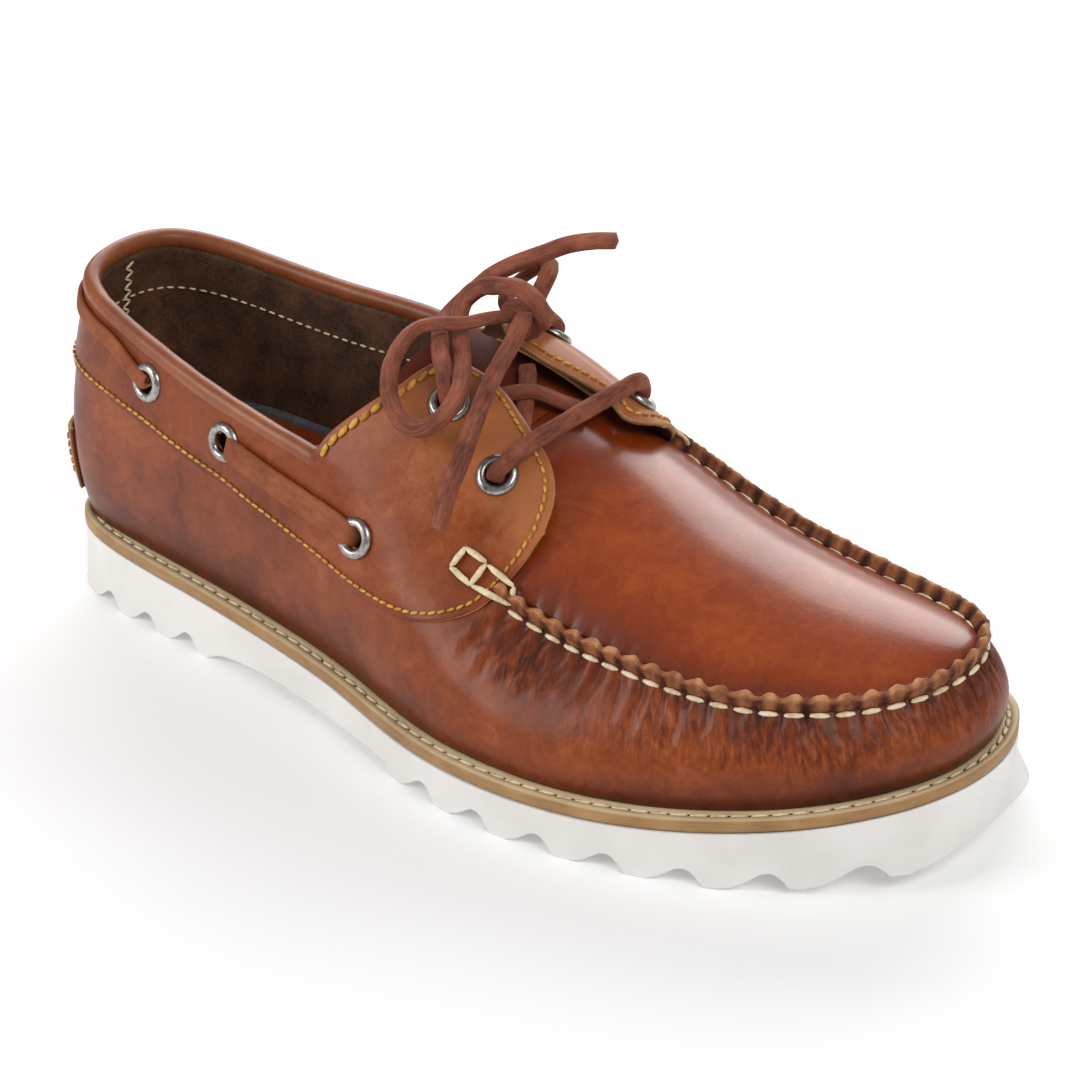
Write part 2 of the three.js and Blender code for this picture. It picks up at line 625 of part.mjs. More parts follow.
/** The solid within a shape's largest skin, which closes small sealed pockets. */
function withoutPockets(shape) {
  const { vertProperties, triVerts, numProp } = shape.getMesh();
  const parent = Array.from({ length: vertProperties.length / numProp }, (_, i) => i);
  const find = (i) => {
    while (parent[i] !== i) {
      parent[i] = parent[parent[i]];
      i = parent[i];
    }
    return i;
  };
  for (let i = 0; i < triVerts.length; i += 3) {
    parent[find(triVerts[i + 1])] = find(triVerts[i]);
    parent[find(triVerts[i + 2])] = find(triVerts[i]);
  }
  const count = new Map();
  for (const vertex of triVerts) count.set(find(vertex), (count.get(find(vertex)) ?? 0) + 1);
  const largest = [...count.entries()].sort((a, b) => b[1] - a[1])[0][0];
  const renumbered = new Map();
  const points = [];
  const triangles = [];
  for (const vertex of triVerts) {
    if (find(vertex) !== largest) continue;
    if (!renumbered.has(vertex)) {
      renumbered.set(vertex, points.length);
      points.push(new THREE.Vector3(...vertProperties.slice(vertex * numProp, vertex * numProp + 3)));
    }
    triangles.push(renumbered.get(vertex));
  }
  return solid(points, triangles);
}

/** The whole upper: wall, apron, seam bead and tabs in one hollow solid, punched for the eyelets. */
function upper(seats) {
  let shape = sideWall().add(apron()).add(seamBead());
  shape = shape.add(eyestayTab(TAB.lateral)).add(eyestayTab(TAB.medial));
  for (const seat of seats) shape = shape.subtract(punch(seat));
  return withoutPockets(shape);
}

// ---------------------------------------------------------------- laces
/** Round tube along a smooth curve through the given points. */
function tube(points, radius, count) {
  const sides = 8;
  const corners = steps(0, 2 * Math.PI, sides)
    .slice(0, -1)
    .map((angle) => new THREE.Vector2(radius * Math.cos(angle), radius * Math.sin(angle)));
  const extrudePath = new THREE.CatmullRomCurve3(points, false, "centripetal");
  return solidOf(new THREE.ExtrudeGeometry(new THREE.Shape(corners), { steps: count, extrudePath }));
}

/** Points listed as [s, w, z] in the shoe. */
const route = (rows) => rows.map(([s, w, z]) => place(s, w, z));

/** Two strands that cross on the tongue, between the tabs, in one solid. */
function laceCross() {
  const radius = 1.7;
  const overTongue = ([t, u, height]) => topPoint(t, u).addScaledVector(normalOf(topPoint, t, u), height);
  const first = [
    [6.16, 0.74, 2.2],
    [6.03, 0.9, 2.3],
    [5.92, 1.04, 2.4],
    [5.8, 1.18, 2.4],
    [5.68, 1.3, 2.3],
  ];
  const second = [
    [6.34, 1.3, 2.3],
    [6.15, 1.18, 2.3],
    [5.95, 1.04, 2.4],
    [5.8, 0.9, 2.3],
    [5.68, 0.78, 2.2],
  ];
  return tube(first.map(overTongue), radius, 6).add(tube(second.map(overTongue), radius, 6));
}

/** Point over an eyelet's middle, at a height above the leather. */
const overSeat = (seat, height) => seat.centre.clone().addScaledVector(seat.normal, height);

/** Front strand, from the mouth of one lower eyelet over to the other. */
function laceBar(lateralSeat, medialSeat) {
  const middle = route([
    [162.5, 16, 85],
    [165, 6, 87.3],
    [166.5, -5, 88.5],
    [168, -14, 89.5],
    [169, -21, 90],
  ]);
  const points = [overSeat(lateralSeat, 0.6), overSeat(lateralSeat, 4.5), ...middle];
  points.push(overSeat(medialSeat, 4.2), overSeat(medialSeat, 0.6));
  return tube(points, LACE_THICKNESS / 2 - 0.1, 15);
}

/** Knot of the bow, with the strand that reaches it from the medial upper eyelet. */
function laceKnot(medialSeat) {
  const knot = tube(
    route([
      [139, -11, 107],
      [141, -10.5, 104],
      [143, -12, 100],
    ]),
    KNOT_RADIUS,
    4
  );
  const strand = tube(
    [
      overSeat(medialSeat, 0.4),
      overSeat(medialSeat, 4),
      ...route([
        [139, -22, 102],
        [141, -13, 104],
      ]),
    ],
    LACE_THICKNESS / 2 - 0.1,
    8
  );
  return knot.add(strand);
}

// Free stretches of the lace, as [s, w, z] points from the knot or the eyelet outwards.
const LACE_LOOP_LATERAL = [
  [137, -3.5, 106],
  [131, 3, 105],
  [126, 7, 105],
  [122, 11, 104],
  [121.5, 17.5, 101],
  [123.5, 24, 96.5],
  [127.5, 28.5, 91.5],
  [133, 31, 88.5],
  [139.5, 31.5, 88.5],
  [144.5, 29, 92],
  [144.5, 22, 96.5],
  [138, 12.5, 98.5],
  [130, 3, 99.5],
  [124, -4, 102],
  [122, -9, 105],
  [126, -10, 109],
  [134, -9, 112],
  [142, -7.5, 113.5],
  [148, -6.5, 111.5],
  [149.5, -7, 107.5],
];
const LACE_END_UPPER = [
  [137.7, 17.8, 90.4],
  [138.5, 19.5, 95],
  [134.5, 16, 98.8],
  [130.5, 12, 100],
  [126.5, 7, 100.5],
  [122, 1, 100.2],
  [118.8, -5, 100.4],
  [118.3, -10.5, 102],
  [121.5, -14, 106],
  [125, -17, 110],
  [131, -20, 114],
  [137, -23, 117],
  [143, -26, 120],
  [149, -29, 121.5],
  [155, -32, 122],
];
const LACE_END_LOWER = [
  [145.5, -3, 107],
  [147, 3, 104],
  [148, 9, 101],
  [149, 15, 97.5],
  [151, 22, 93.5],
  [152.5, 28, 89],
  [153.5, 33.5, 83.5],
  [153.5, 37.5, 78.5],
  [153, 40, 73],
  [152.5, 41.5, 68],
];
const LACE_LOOP_MEDIAL = [
  [140.5, -17, 109],
  [140, -20, 111],
  [138.5, -24, 112.5],
  [135.5, -27.5, 112],
  [131.5, -28.5, 110],
  [128.5, -26, 107.5],
  [127.5, -21.5, 105.5],
  [129.5, -17, 104],
];

/** Flat lace on the side wall through the given spots, clear of the leather, with its ends at their mouths. */
function wallStrip(spots, count) {
  const atShare = (key, share) => {
    const reached = share * (spots.length - 1);
    const i = Math.min(Math.floor(reached), spots.length - 2);
    return THREE.MathUtils.lerp(spots[i][key], spots[i + 1][key], reached - i);
  };
  const half = SIDE_LACE_WIDTH / 2;
  const edge = 0.8; // bevel of the strip's edges
  const corners = [
    [-half, 0.5],
    [-half + edge, SIDE_LACE_THICKNESS + 0.5],
    [half - edge, SIDE_LACE_THICKNESS + 0.5],
    [half, 0.5],
  ];
  const ring = (share) => {
    const t = atShare("t", share);
    const q = atShare("q", share);
    const normal = normalOf(wallPoint, t, q);
    const up = wallPoint(t, q + 0.02)
      .sub(wallPoint(t, q - 0.02))
      .normalize();
    return corners.map(([a, b]) => wallPoint(t, q).addScaledVector(up, a).addScaledVector(normal, b));
  };
  return ringSolid(steps(0, 1, count).map(ring), false);
}

/** Spots of the side lace between the middle and the front eyelet, at t or mirrored to the other side. */
function sideLaceSpots(mirrored) {
  const spots = [
    { t: 3.8, q: 0.765 },
    { t: 4.2, q: 0.745 },
    { t: 4.6, q: 0.735 },
    { t: 4.96, q: 0.735 },
  ];
  return mirrored ? spots.map((spot) => ({ t: TURN - spot.t, q: spot.q })) : spots;
}

/** Spots of the lace round the heel, from one rear eyelet to the other. */
function heelLaceSpots() {
  const reach = 2.2;
  return steps(-reach, reach, 8).map((t) => ({ t, q: 0.8 }));
}

// ---------------------------------------------------------------- assembly
const COLOURS = {
  rubber: { color: "#e9e6e0", roughness: 0.75, metalness: 0 },
  welt: { color: "#a98a5c", roughness: 0.8, metalness: 0 },
  sock: { color: "#8a4a2c", roughness: 0.7, metalness: 0 },
  leather: { color: "#9c4a22", roughness: 0.35, metalness: 0 },
  collar: { color: "#7c3f24", roughness: 0.45, metalness: 0 },
  strip: { color: "#8a4526", roughness: 0.5, metalness: 0 },
  lace: { color: "#6b3a2e", roughness: 0.85, metalness: 0 },
  metal: { color: "#8c8c88", roughness: 0.3, metalness: 1 },
};

const group = new THREE.Group();

/** Add a named piece to the shoe. */
function addPiece(name, shape, finish) {
  const geometry = shape.isBufferGeometry ? shape : geometryOf(shape);
  const piece = new THREE.Mesh(geometry, new THREE.MeshStandardMaterial(COLOURS[finish]));
  piece.name = name;
  group.add(piece);
}

const seats = eyeletSeats();
addPiece("outsole", outsole(), "rubber");
addPiece("welt", welt(), "welt");
addPiece("insole", insole(), "sock");
addPiece("upper", upper(seats), "leather");
addPiece("tongue", tongue(), "leather");
addPiece("collar_roll", collarRoll(), "collar");
addPiece("heel_patch", heelPatch(), "leather");
for (const seat of seats) addPiece(seat.name, eyeletGeometry(seat), "metal");

const seatOf = (name) => seats.find((seat) => seat.name === name);
const freeLace = (rows, count) => tube(route(rows), LACE_THICKNESS / 2, count);
addPiece("side_lace_lateral", wallStrip(sideLaceSpots(false), 8), "strip");
addPiece("side_lace_medial", wallStrip(sideLaceSpots(true), 8), "strip");
addPiece("heel_lace", wallStrip(heelLaceSpots(), 16), "strip");
addPiece("lace_cross", laceCross(), "lace");
addPiece("lace_bar", laceBar(seatOf("eyelet_lateral_lower"), seatOf("eyelet_medial_lower")), "lace");
addPiece("lace_knot", laceKnot(seatOf("eyelet_medial_upper")), "lace");
addPiece("lace_loop_lateral", freeLace(LACE_LOOP_LATERAL, 28), "lace");
addPiece("lace_loop_medial", freeLace(LACE_LOOP_MEDIAL, 10), "lace");
addPiece("lace_end_upper", freeLace(LACE_END_UPPER, 16), "lace");
addPiece("lace_end_lower", freeLace(LACE_END_LOWER, 12), "lace");

// The origin goes to the bottom centre of the shoe's box.
const box = new THREE.Box3().setFromObject(group);
const middle = box.getCenter(new THREE.Vector3());
group.position.set(-middle.x, -middle.y, -box.min.z);

export default group;
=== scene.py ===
"""Fine surfaces, seams, stitches and laces of a right-foot boat shoe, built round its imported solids.

A point of the shoe is (s, w, z) in millimetres: s runs forward from the back of the heel, w out to the lateral
side from the heel's axis, and z up from the ground. The frame has the toe towards -Y and the lateral side
towards -X, in metres. Stations t run round the shoe as in STATIONS, and q climbs the side wall from 0 to 1.
"""
import logging
import math
import random
from dataclasses import dataclass, field
from enum import Enum
from functools import partial
from typing import Callable, Optional, Sequence

import bmesh
import bpy
from mathutils import Matrix, Vector, noise


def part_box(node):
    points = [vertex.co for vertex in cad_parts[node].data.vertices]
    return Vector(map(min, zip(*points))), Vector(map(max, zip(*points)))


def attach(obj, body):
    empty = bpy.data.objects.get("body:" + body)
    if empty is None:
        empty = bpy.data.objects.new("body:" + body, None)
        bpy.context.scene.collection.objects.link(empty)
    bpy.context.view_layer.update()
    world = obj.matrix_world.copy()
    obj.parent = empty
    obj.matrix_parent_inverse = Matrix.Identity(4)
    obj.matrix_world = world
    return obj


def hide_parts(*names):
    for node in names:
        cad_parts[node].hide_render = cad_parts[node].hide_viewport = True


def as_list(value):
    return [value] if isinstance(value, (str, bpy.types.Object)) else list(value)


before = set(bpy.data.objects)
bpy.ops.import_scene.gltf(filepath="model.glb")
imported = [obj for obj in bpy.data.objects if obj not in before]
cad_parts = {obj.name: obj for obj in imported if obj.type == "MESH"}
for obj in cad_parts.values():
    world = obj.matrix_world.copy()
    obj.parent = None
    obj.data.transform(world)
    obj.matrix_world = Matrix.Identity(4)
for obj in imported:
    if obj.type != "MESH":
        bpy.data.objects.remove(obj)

LOG = logging.getLogger("boat_shoe")
MM = 0.001
BAR_GIRTH = 4 * math.pi  # length round a lace for its UV map, in millimetres

Surface = Callable[[float, float], Vector]
Path = list[Vector]

# Columns: s, w, top s, top w, top z, margin, belly, lean. s and w of the welt's edge, and of the line that ends
# the side wall, are per cent of the length and the ball width; top z is per cent of the collar's height.
# Margin, belly and lean are millimetres: the welt that shows, and how far the wall swells low down and high up.
STATIONS = (
    (0.0, 0.0, 1.7, -0.9, 100.0, 1.2, 8, 3),
    (2.1, 20.5, 3.5, 15.6, 97.5, 2, 7.5, 3.5),
    (10.8, 29.9, 10.8, 23.2, 92.0, 4, 4.5, 5),
    (21.2, 33.0, 20.8, 27.7, 85.5, 4.6, 4, 4.5),
    (31.9, 36.6, 30.9, 30.4, 80.0, 4.6, 3, 4.5),
    (42.4, 42.0, 41.3, 31.7, 74.2, 4.6, 3, 7),
    (52.8, 50.0, 51.7, 33.0, 62.4, 4.6, 3, 9),
    (63.5, 53.6, 62.5, 33.0, 51.0, 4.6, 4, 9),
    (74.3, 50.4, 72.2, 33.9, 48.2, 4.6, 4, 8),
    (84.4, 41.5, 81.6, 31.2, 46.7, 4.6, 4, 6.5),
    (92.7, 28.6, 89.2, 22.3, 47.2, 4.6, 4, 5.5),
    (98.3, 11.6, 94.3, 8.5, 49.0, 4.6, 4, 6),
    (99.8, -8.0, 96.0, -9.5, 50.5, 4.6, 4, 6),
    (97.2, -27.7, 93.2, -23.0, 51.0, 4.6, 4, 6),
    (91.3, -41.0, 86.8, -27.7, 51.5, 4.6, 4, 7),
    (82.3, -46.0, 79.5, -30.4, 52.6, 4.6, 4, 8),
    (72.2, -46.4, 70.8, -32.1, 56.7, 4.6, 3.5, 8),
    (61.8, -44.6, 62.5, -33.0, 64.4, 4.6, 3, 7),
    (51.4, -40.6, 52.1, -33.0, 74.7, 4.6, 2.5, 6),
    (41.0, -36.2, 41.7, -31.2, 84.5, 4.6, 2.5, 5),
    (30.6, -33.0, 31.2, -29.5, 89.7, 4.6, 2.5, 4),
    (20.1, -31.7, 20.8, -27.2, 91.2, 4.6, 3, 4),
    (10.1, -28.6, 10.4, -24.1, 94.8, 4, 4, 4.5),
    (2.8, -17.0, 3.5, -16.5, 98.5, 2, 7.5, 4),
)
TURN = len(STATIONS)
TOE = TURN / 2
THROAT = 6.55  # station where the apron's seam starts
COLLAR_END = 4.62  # station where the topline meets the eyestay

# Rise of the top over the line between paired stations, per cent of the crown's height.
CROWN = (
    (3.5, 125), (4, 112), (5, 92), (6, 88), (7, 85), (8, 72),
    (9, 57), (10, 41), (11, 23), (11.6, 12), (12, 0),
)
# Top of the outsole along the shoe, millimetres.
SOLE_TOP = (
    (-8, 19.4), (30, 18.2), (60, 16.4), (100, 13.6), (143, 11.0),
    (182, 11.2), (217, 12.6), (248, 16.2), (275, 21.4), (300, 28.0),
)
TOE_SPRING = ((0, 0), (110, 0), (228, 0), (240, 0.2), (259, 2.0), (278, 4.8), (300, 9.5))
SIDE_SEATS = {"front": (5.22, 0.735), "middle": (3.54, 0.78), "rear": (2.48, 0.81)}  # station and q
ARCH = ((72, 2.6), (80, 3.7), (90, 4.2), (104, 3.8), (122, 3.2), (142, 3.0), (143.6, 2.2))


# ---- curves and the last
def smooth(low: float, high: float, x: float) -> float:
    """Soft step from 0 at low to 1 at high."""
    share = min(1.0, max(0.0, (x - low) / (high - low)))
    return share * share * (3 - 2 * share)


def spread(low: float, high: float, count: int) -> list[float]:
    """Even steps from low to high, both included."""
    return [low + (high - low) * i / count for i in range(count + 1)]


def hump(x: float, width: float) -> float:
    """Smooth hump: 1 at 0, and all but gone two widths away."""
    return math.exp(-((x / width) ** 2))


def rough(*place: float) -> float:
    """Smooth noise between -1 and 1 at a place given by three numbers."""
    return noise.noise(Vector(place))


def drawn_in(phase: float, power: int) -> float:
    """How far a stitch draws the seam in: 1 at each whole phase and 0 between, sharper with a higher power."""
    return (0.5 + 0.5 * math.cos(2 * math.pi * phase)) ** power


class LoopCurve:
    """Closed smooth curve through evenly numbered values, a cubic B-spline with relaxed control values."""

    def __init__(self, values: Sequence[float]) -> None:
        """Work out the control values.

        Args:
            values: what the curve passes at each whole station.
        """
        count = len(values)
        control = list(values)
        for _ in range(40):
            control = [
                (6 * values[i] - control[i - 1] - control[(i + 1) % count]) / 4 for i in range(count)
            ]
        self.control = control

    def __call__(self, t: float) -> float:
        """Value at station t.

        Args:
            t: station, whole or not.

        Returns:
            The value there.
        """
        i = math.floor(t)
        f = t - i
        c = [self.control[(i + k) % len(self.control)] for k in (-1, 0, 1, 2)]
        near = (3 * f**3 - 6 * f**2 + 4) * c[1] + (-3 * f**3 + 3 * f**2 + 3 * f + 1) * c[2]
        return ((1 - f) ** 3 * c[0] + near + f**3 * c[3]) / 6


class OpenCurve:
    """Open smooth curve y(x) through rows of (x, y)."""

    def __init__(self, rows: Sequence[tuple[float, float]]) -> None:
        """Keep the rows by column."""
        self.xs, self.ys = zip(*rows)

    def slope(self, i: int) -> float:
        """Slope at row i, between its neighbours."""
        a, b = max(i - 1, 0), min(i + 1, len(self.xs) - 1)
        return (self.ys[b] - self.ys[a]) / (self.xs[b] - self.xs[a])

    def __call__(self, x: float) -> float:
        """Value at x, held level past both ends.

        Args:
            x: where to read the curve.

        Returns:
            The value there.
        """
        i = 0
        while i < len(self.xs) - 2 and x > self.xs[i + 1]:
            i += 1
        h = self.xs[i + 1] - self.xs[i]
        f = min(1.0, max(0.0, (x - self.xs[i]) / h))
        start = (1 + 2 * f) * (1 - f) ** 2 * self.ys[i] + f * (1 - f) ** 2 * h * self.slope(i)
        return start + f * f * (3 - 2 * f) * self.ys[i + 1] + f * f * (f - 1) * h * self.slope(i + 1)


@dataclass(frozen=True)
class Tab:
    """Sizes of one eyestay tab, in stations along the shoe and in shares of the half width across it."""

    side: int
    front: float
    front_slant: float
    lift: float
    peak: float
    end_lift: float
    back: float = 4.62
    back_slant: float = 0.32
    front_round: float = 0.95
    proud: float = 0.7

    def span(self, u: float, rounded: bool = True) -> tuple[float, float]:
        """Stations of the back and front edge at distance u past the shoulder, with or without the round corner."""
        rounding = self.front_round * max(0.0, 1 - u / 0.42) ** 2 if rounded else 0.0
        return self.back + self.back_slant * u, self.front - self.front_slant * u - rounding

    def height(self, x: float, u: float) -> float:
        """How far the tab stands off the last, in millimetres.

        Args:
            x: share of the way from the tab's back edge to its front edge.
            u: distance past the shoulder, in half widths.

        Returns:
            The height.
        """
        share = self.end_lift + (1 - self.end_lift) * math.sin(math.pi * min(1.0, max(0.0, x)))
        rise = math.sin(min(1.0, u / self.peak) * math.pi / 2) - max(0.0, u - self.peak)
        return self.proud + share * self.lift * rise


@dataclass
class ShoeForm:
    """The last: side wall, top and sole lines, worked out from a few driving sizes in millimetres."""

    length: float = 288
    ball_width: float = 112
    collar_height: float = 97
    crown_height: float = 20
    wall_thickness: float = 2.2
    welt_thickness: float = 4
    insole_thickness: float = 3
    gap: float = 0.3
    lateral: Tab = field(default_factory=lambda: Tab(1, 7.05, 0.5, 6.2, 0.8, 1))
    medial: Tab = field(default_factory=lambda: Tab(-1, 7.25, 0.9, 8.8, 0.5, 0.55))

    def __post_init__(self) -> None:
        """Work out the curves, and where the frame's origin lies in the shoe."""
        def column(i: int, scale: float) -> LoopCurve:
            """Curve of one column of STATIONS."""
            return LoopCurve([row[i] * scale for row in STATIONS])

        self.edge_s = column(0, self.length / 100)
        self.edge_w = column(1, self.ball_width / 100)
        self.top_s = column(2, self.length / 100)
        self.top_w = column(3, self.ball_width / 100)
        self.top_z = column(4, self.collar_height / 100)
        self.margin = column(5, 1)
        self.belly = column(6, 1)
        self.lean = column(7, 1)
        self.crown = OpenCurve(CROWN)
        self.sole_top = OpenCurve(SOLE_TOP)
        self.toe_curve = OpenCurve(TOE_SPRING)
        self.sections: dict[float, tuple[Vector, Vector, Vector, Vector]] = {}
        low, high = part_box("welt")
        outline = [self.edge_point(t, 0, 0) for t in spread(0, TURN, 60)]
        left = min(p.x for p in outline)
        back = max(p.y for p in outline)
        self.offset = Vector((low.x - left * MM, high.y - back * MM, 0))

    def toe_spring(self, s: float) -> float:
        """Height of the lands above the ground, at s."""
        return max(0.0, self.toe_curve(s))

    @staticmethod
    def point(s: float, w: float, z: float) -> Vector:
        """Shoe point in the model's axes, still in millimetres."""
        return Vector((-w, -s, z))

    def place(self, p: Vector) -> Vector:
        """Millimetre point to the frame, in metres."""
        return p * MM + self.offset

    def at(self, s: float, w: float, z: float) -> Vector:
        """Shoe point to the frame, in metres."""
        return self.place(self.point(s, w, z))

    def outward(self, t: float) -> Vector:
        """Level direction out of the welt's edge at station t."""
        ds, dw = (curve(t + 0.05) - curve(t - 0.05) for curve in (self.edge_s, self.edge_w))
        return self.point(-dw, ds, 0).normalized()

    def edge_point(self, t: float, grow: float, z: float) -> Vector:
        """Point of the welt's outline, moved out by grow."""
        return self.point(self.edge_s(t), self.edge_w(t), z) + self.outward(t) * grow

    def on_sole(self, t: float, grow: float, height: float) -> Vector:
        """Point of the welt's outline, moved out by grow, at a height over the outsole's top."""
        edge = self.edge_point(t, grow, 0)
        return Vector((edge.x, edge.y, self.sole_top(-edge.y) + height))

    def section(self, t: float) -> tuple[Vector, Vector, Vector, Vector]:
        """Control points of the wall's curve at station t.

        Args:
            t: station round the shoe.

        Returns:
            Foot, lower, upper and top point.
        """
        key = round(t % TURN, 6)
        if key not in self.sections:
            out = self.outward(t)
            foot = self.on_sole(t, -self.margin(t), self.welt_thickness + self.gap)
            top = self.point(self.top_s(t), self.top_w(t), self.top_z(t))
            rise = top.z - foot.z
            low = foot + out * self.belly(t) + Vector((0, 0, 0.4 * rise))
            high = top + out * self.lean(t) - Vector((0, 0, 0.3 * rise))
            self.sections[key] = (foot, low, high, top)
        return self.sections[key]

    def wall(self, t: float, q: float) -> Vector:
        """Side wall: q = 0 on the welt, q = 1 on the line that ends the wall.

        Args:
            t: station round the shoe.
            q: share of the way up the side wall.

        Returns:
            The point, in millimetres.
        """
        foot, low, high, top = self.section(t)
        r = 1 - q
        return r**3 * foot + 3 * q * r * r * low + 3 * q * q * r * high + q**3 * top

    def top(self, t: float, u: float) -> Vector:
        """Top between paired stations: u = 0 on the lateral line, u = 2 on the medial one."""
        rise = self.crown(t) * self.crown_height / 100 * (1 - (u - 1) ** 2)
        return self.section(t)[3].lerp(self.section(TURN - t)[3], u / 2) + Vector((0, 0, rise))

    def last(self, t: float, q: float) -> Vector:
        """Wall and top in one: q past 1 crosses to the middle of the top.

        Args:
            t: station round the shoe.
            q: as on the wall up to 1, then over the top to 2.

        Returns:
            The point, in millimetres.
        """
        if q <= 1:
            return self.wall(t, q)
        return self.top(t, q - 1) if t <= TOE else self.top(TURN - t, 3 - q)

    @staticmethod
    def normal(surface: Surface, t: float, q: float, step: float = 0.02) -> Vector:
        """Unit normal of a surface, pointing out of the last.

        Args:
            surface: the surface, in millimetres.
            t: first parameter.
            q: second parameter.
            step: how far to each side it is measured.

        Returns:
            The normal.
        """
        along = surface(t + step, q) - surface(t - step, q)
        up = surface(t, q + step) - surface(t, q - step)
        return along.cross(up).normalized()

    def off(self, surface: Surface, t: float, q: float, distance: float) -> Vector:
        """Point at a distance off a surface."""
        return surface(t, q) + self.normal(surface, t, q) * distance

    def tab_point(self, tab: Tab, x: float, q: float) -> Vector:
        """Point of a tab's outer face: x from its back edge to its front edge, q as on the last.

        Args:
            tab: the tab.
            x: share of the way from the tab's back edge to its front edge.
            q: as on the last.

        Returns:
            The point, in millimetres.
        """
        back, front = tab.span(max(0.0, q - 1))
        t = back + (front - back) * x
        station = t if tab.side > 0 else TURN - t
        return self.off(self.last, station, q, tab.height(x, max(0.0, q - 1)))

    def below_top(self, t: float, distance: float) -> float:
        """The q of the wall point that lies a distance below the top of the wall.

        Args:
            t: station round the shoe.
            distance: distance down, in millimetres.

        Returns:
            The q.
        """
        top = self.wall(t, 1)
        low, high = 0.0, 1.0
        for _ in range(20):
            middle = (low + high) / 2
            if (self.wall(t, middle) - top).length > distance:
                low = middle
            else:
                high = middle
        return low


# ---- mesh making
class Maker:
    """Builds meshes of the shoe from bmesh operators and puts them in the scene."""

    def __init__(self, form: ShoeForm) -> None:
        """Keep the last."""
        self.form = form

    def finish(self, mesh: bmesh.types.BMesh, name: str) -> bpy.types.Object:
        """Turn a bmesh into a smooth-shaded object at the origin.

        Args:
            mesh: the shape, in metres in the frame; it is freed here.
            name: the piece's name.

        Returns:
            The new object, linked to the scene.
        """
        data = bpy.data.meshes.new(name)
        mesh.to_mesh(data)
        mesh.free()
        data.shade_smooth()
        piece = bpy.data.objects.new(name, data)
        bpy.context.scene.collection.objects.link(piece)
        return piece

    def sheet(
        self,
        name: str,
        columns: Sequence[float],
        rows: int,
        at: Callable[[float, float], Vector],
        marks: Optional[dict[str, Callable[[float, float], float]]] = None,
        uv: Optional[Callable[[float, float], tuple[float, float]]] = None,
        holes: Sequence[tuple[Vector, Vector, float]] = (),
        closed: bool = False,
    ) -> bpy.types.Object:
        """Sheet of faces over a surface function.

        Args:
            name: the piece's name.
            columns: values of the first parameter, one for each column of vertices.
            rows: number of faces along the second parameter, which runs from 0 to 1.
            at: gives the millimetre point for the two parameters.
            marks: float attributes to store on the vertices, by name.
            uv: gives UV coordinates in millimetres.
            holes: punched holes, each with its centre, its direction and its radius, in millimetres.
            closed: a closed shape, whose faces are turned outwards after merging.

        Returns:
            The new object.
        """
        mesh = bmesh.new()
        layer = mesh.loops.layers.uv.new("UVMap")
        stored = {key: mesh.verts.layers.float.new(key) for key in (marks or {})}
        bmesh.ops.create_grid(mesh, x_segments=len(columns) - 1, y_segments=rows, size=1)
        spots = {}
        for vert in mesh.verts:
            i = round((vert.co.x + 1) / 2 * (len(columns) - 1))
            spots[vert] = (columns[i], (vert.co.y + 1) / 2)
        for vert, (a, b) in spots.items():
            for key, value in stored.items():
                vert[value] = marks[key](a, b)
            vert.co = at(a, b)
        if uv:
            for face in mesh.faces:
                for loop in face.loops:
                    loop[layer].uv = uv(*spots[loop.vert])
        for centre, direction, radius in holes:
            self.punch(mesh, centre, direction, radius)
        for vert in mesh.verts:
            vert.co = self.form.place(vert.co)
        bmesh.ops.remove_doubles(mesh, verts=mesh.verts[:], dist=1e-7)
        if closed:
            bmesh.ops.holes_fill(mesh, edges=[e for e in mesh.edges if e.is_boundary], sides=0)
            bmesh.ops.recalc_face_normals(mesh, faces=mesh.faces[:])
        return self.finish(mesh, name)

    @staticmethod
    def punch(mesh: bmesh.types.BMesh, centre: Vector, direction: Vector, radius: float) -> None:
        """Open a round hole: the nearest vertices move on to its rim, and the faces within go.

        Args:
            mesh: the sheet, in millimetres.
            centre: middle of the hole.
            direction: direction of its axis.
            radius: its radius.
        """
        reach = 1.1
        inner = set()
        for vert in mesh.verts:
            offset = vert.co - centre
            height = offset.dot(direction)
            flat = offset - direction * height
            if abs(height) > 6 or flat.length > radius + reach:
                continue
            if flat.length > radius - reach:
                vert.co += flat.normalized() * (radius - flat.length)
            inner.add(vert)
        faces = [face for face in mesh.faces if all(v in inner for v in face.verts)]
        faces = [f for f in faces if (f.calc_center_median() - centre).length < radius - 0.02]
        bmesh.ops.delete(mesh, geom=faces, context="FACES")

    def bar(
        self,
        name: str,
        path: Path,
        section: Callable[[float, float], tuple[float, float]],
        sides: Callable[[float], tuple[Vector, Vector]],
        rows: int = 16,
        round_ends: float = 0.0,
        marks: Optional[dict[str, Callable[[float, float], float]]] = None,
    ) -> bpy.types.Object:
        """Bar swept along a path.

        Args:
            name: the piece's name.
            path: points of its centreline, in millimetres.
            section: gives the two offsets at a distance along the path and an angle in turns.
            sides: gives the two unit directions of the section at an index of the path.
            rows: faces round the bar.
            round_ends: length of the rounding at both ends.
            marks: float attributes to store on the vertices, by name.

        Returns:
            The new object.
        """
        distances = walked(path)

        def at(index: float, turn: float) -> Vector:
            """Point of the section at an index, made smaller at a rounded end.

            Args:
                index: number of the point on the path.
                turn: angle in turns.

            Returns:
                The point, in millimetres.
            """
            i = int(index)
            across, up = sides(i)
            a, b = section(distances[i], turn)
            scale = 1.0
            for end in (distances[i], distances[-1] - distances[i]):
                if end < round_ends:
                    scale *= math.sqrt(max(0.0, 1 - (1 - end / round_ends) ** 2))
            return path[i] + (across * a + up * b) * scale

        return self.sheet(
            name, list(range(len(path))), rows, at, marks=marks, closed=True,
            uv=lambda index, turn: (distances[int(index)], turn * BAR_GIRTH),
        )


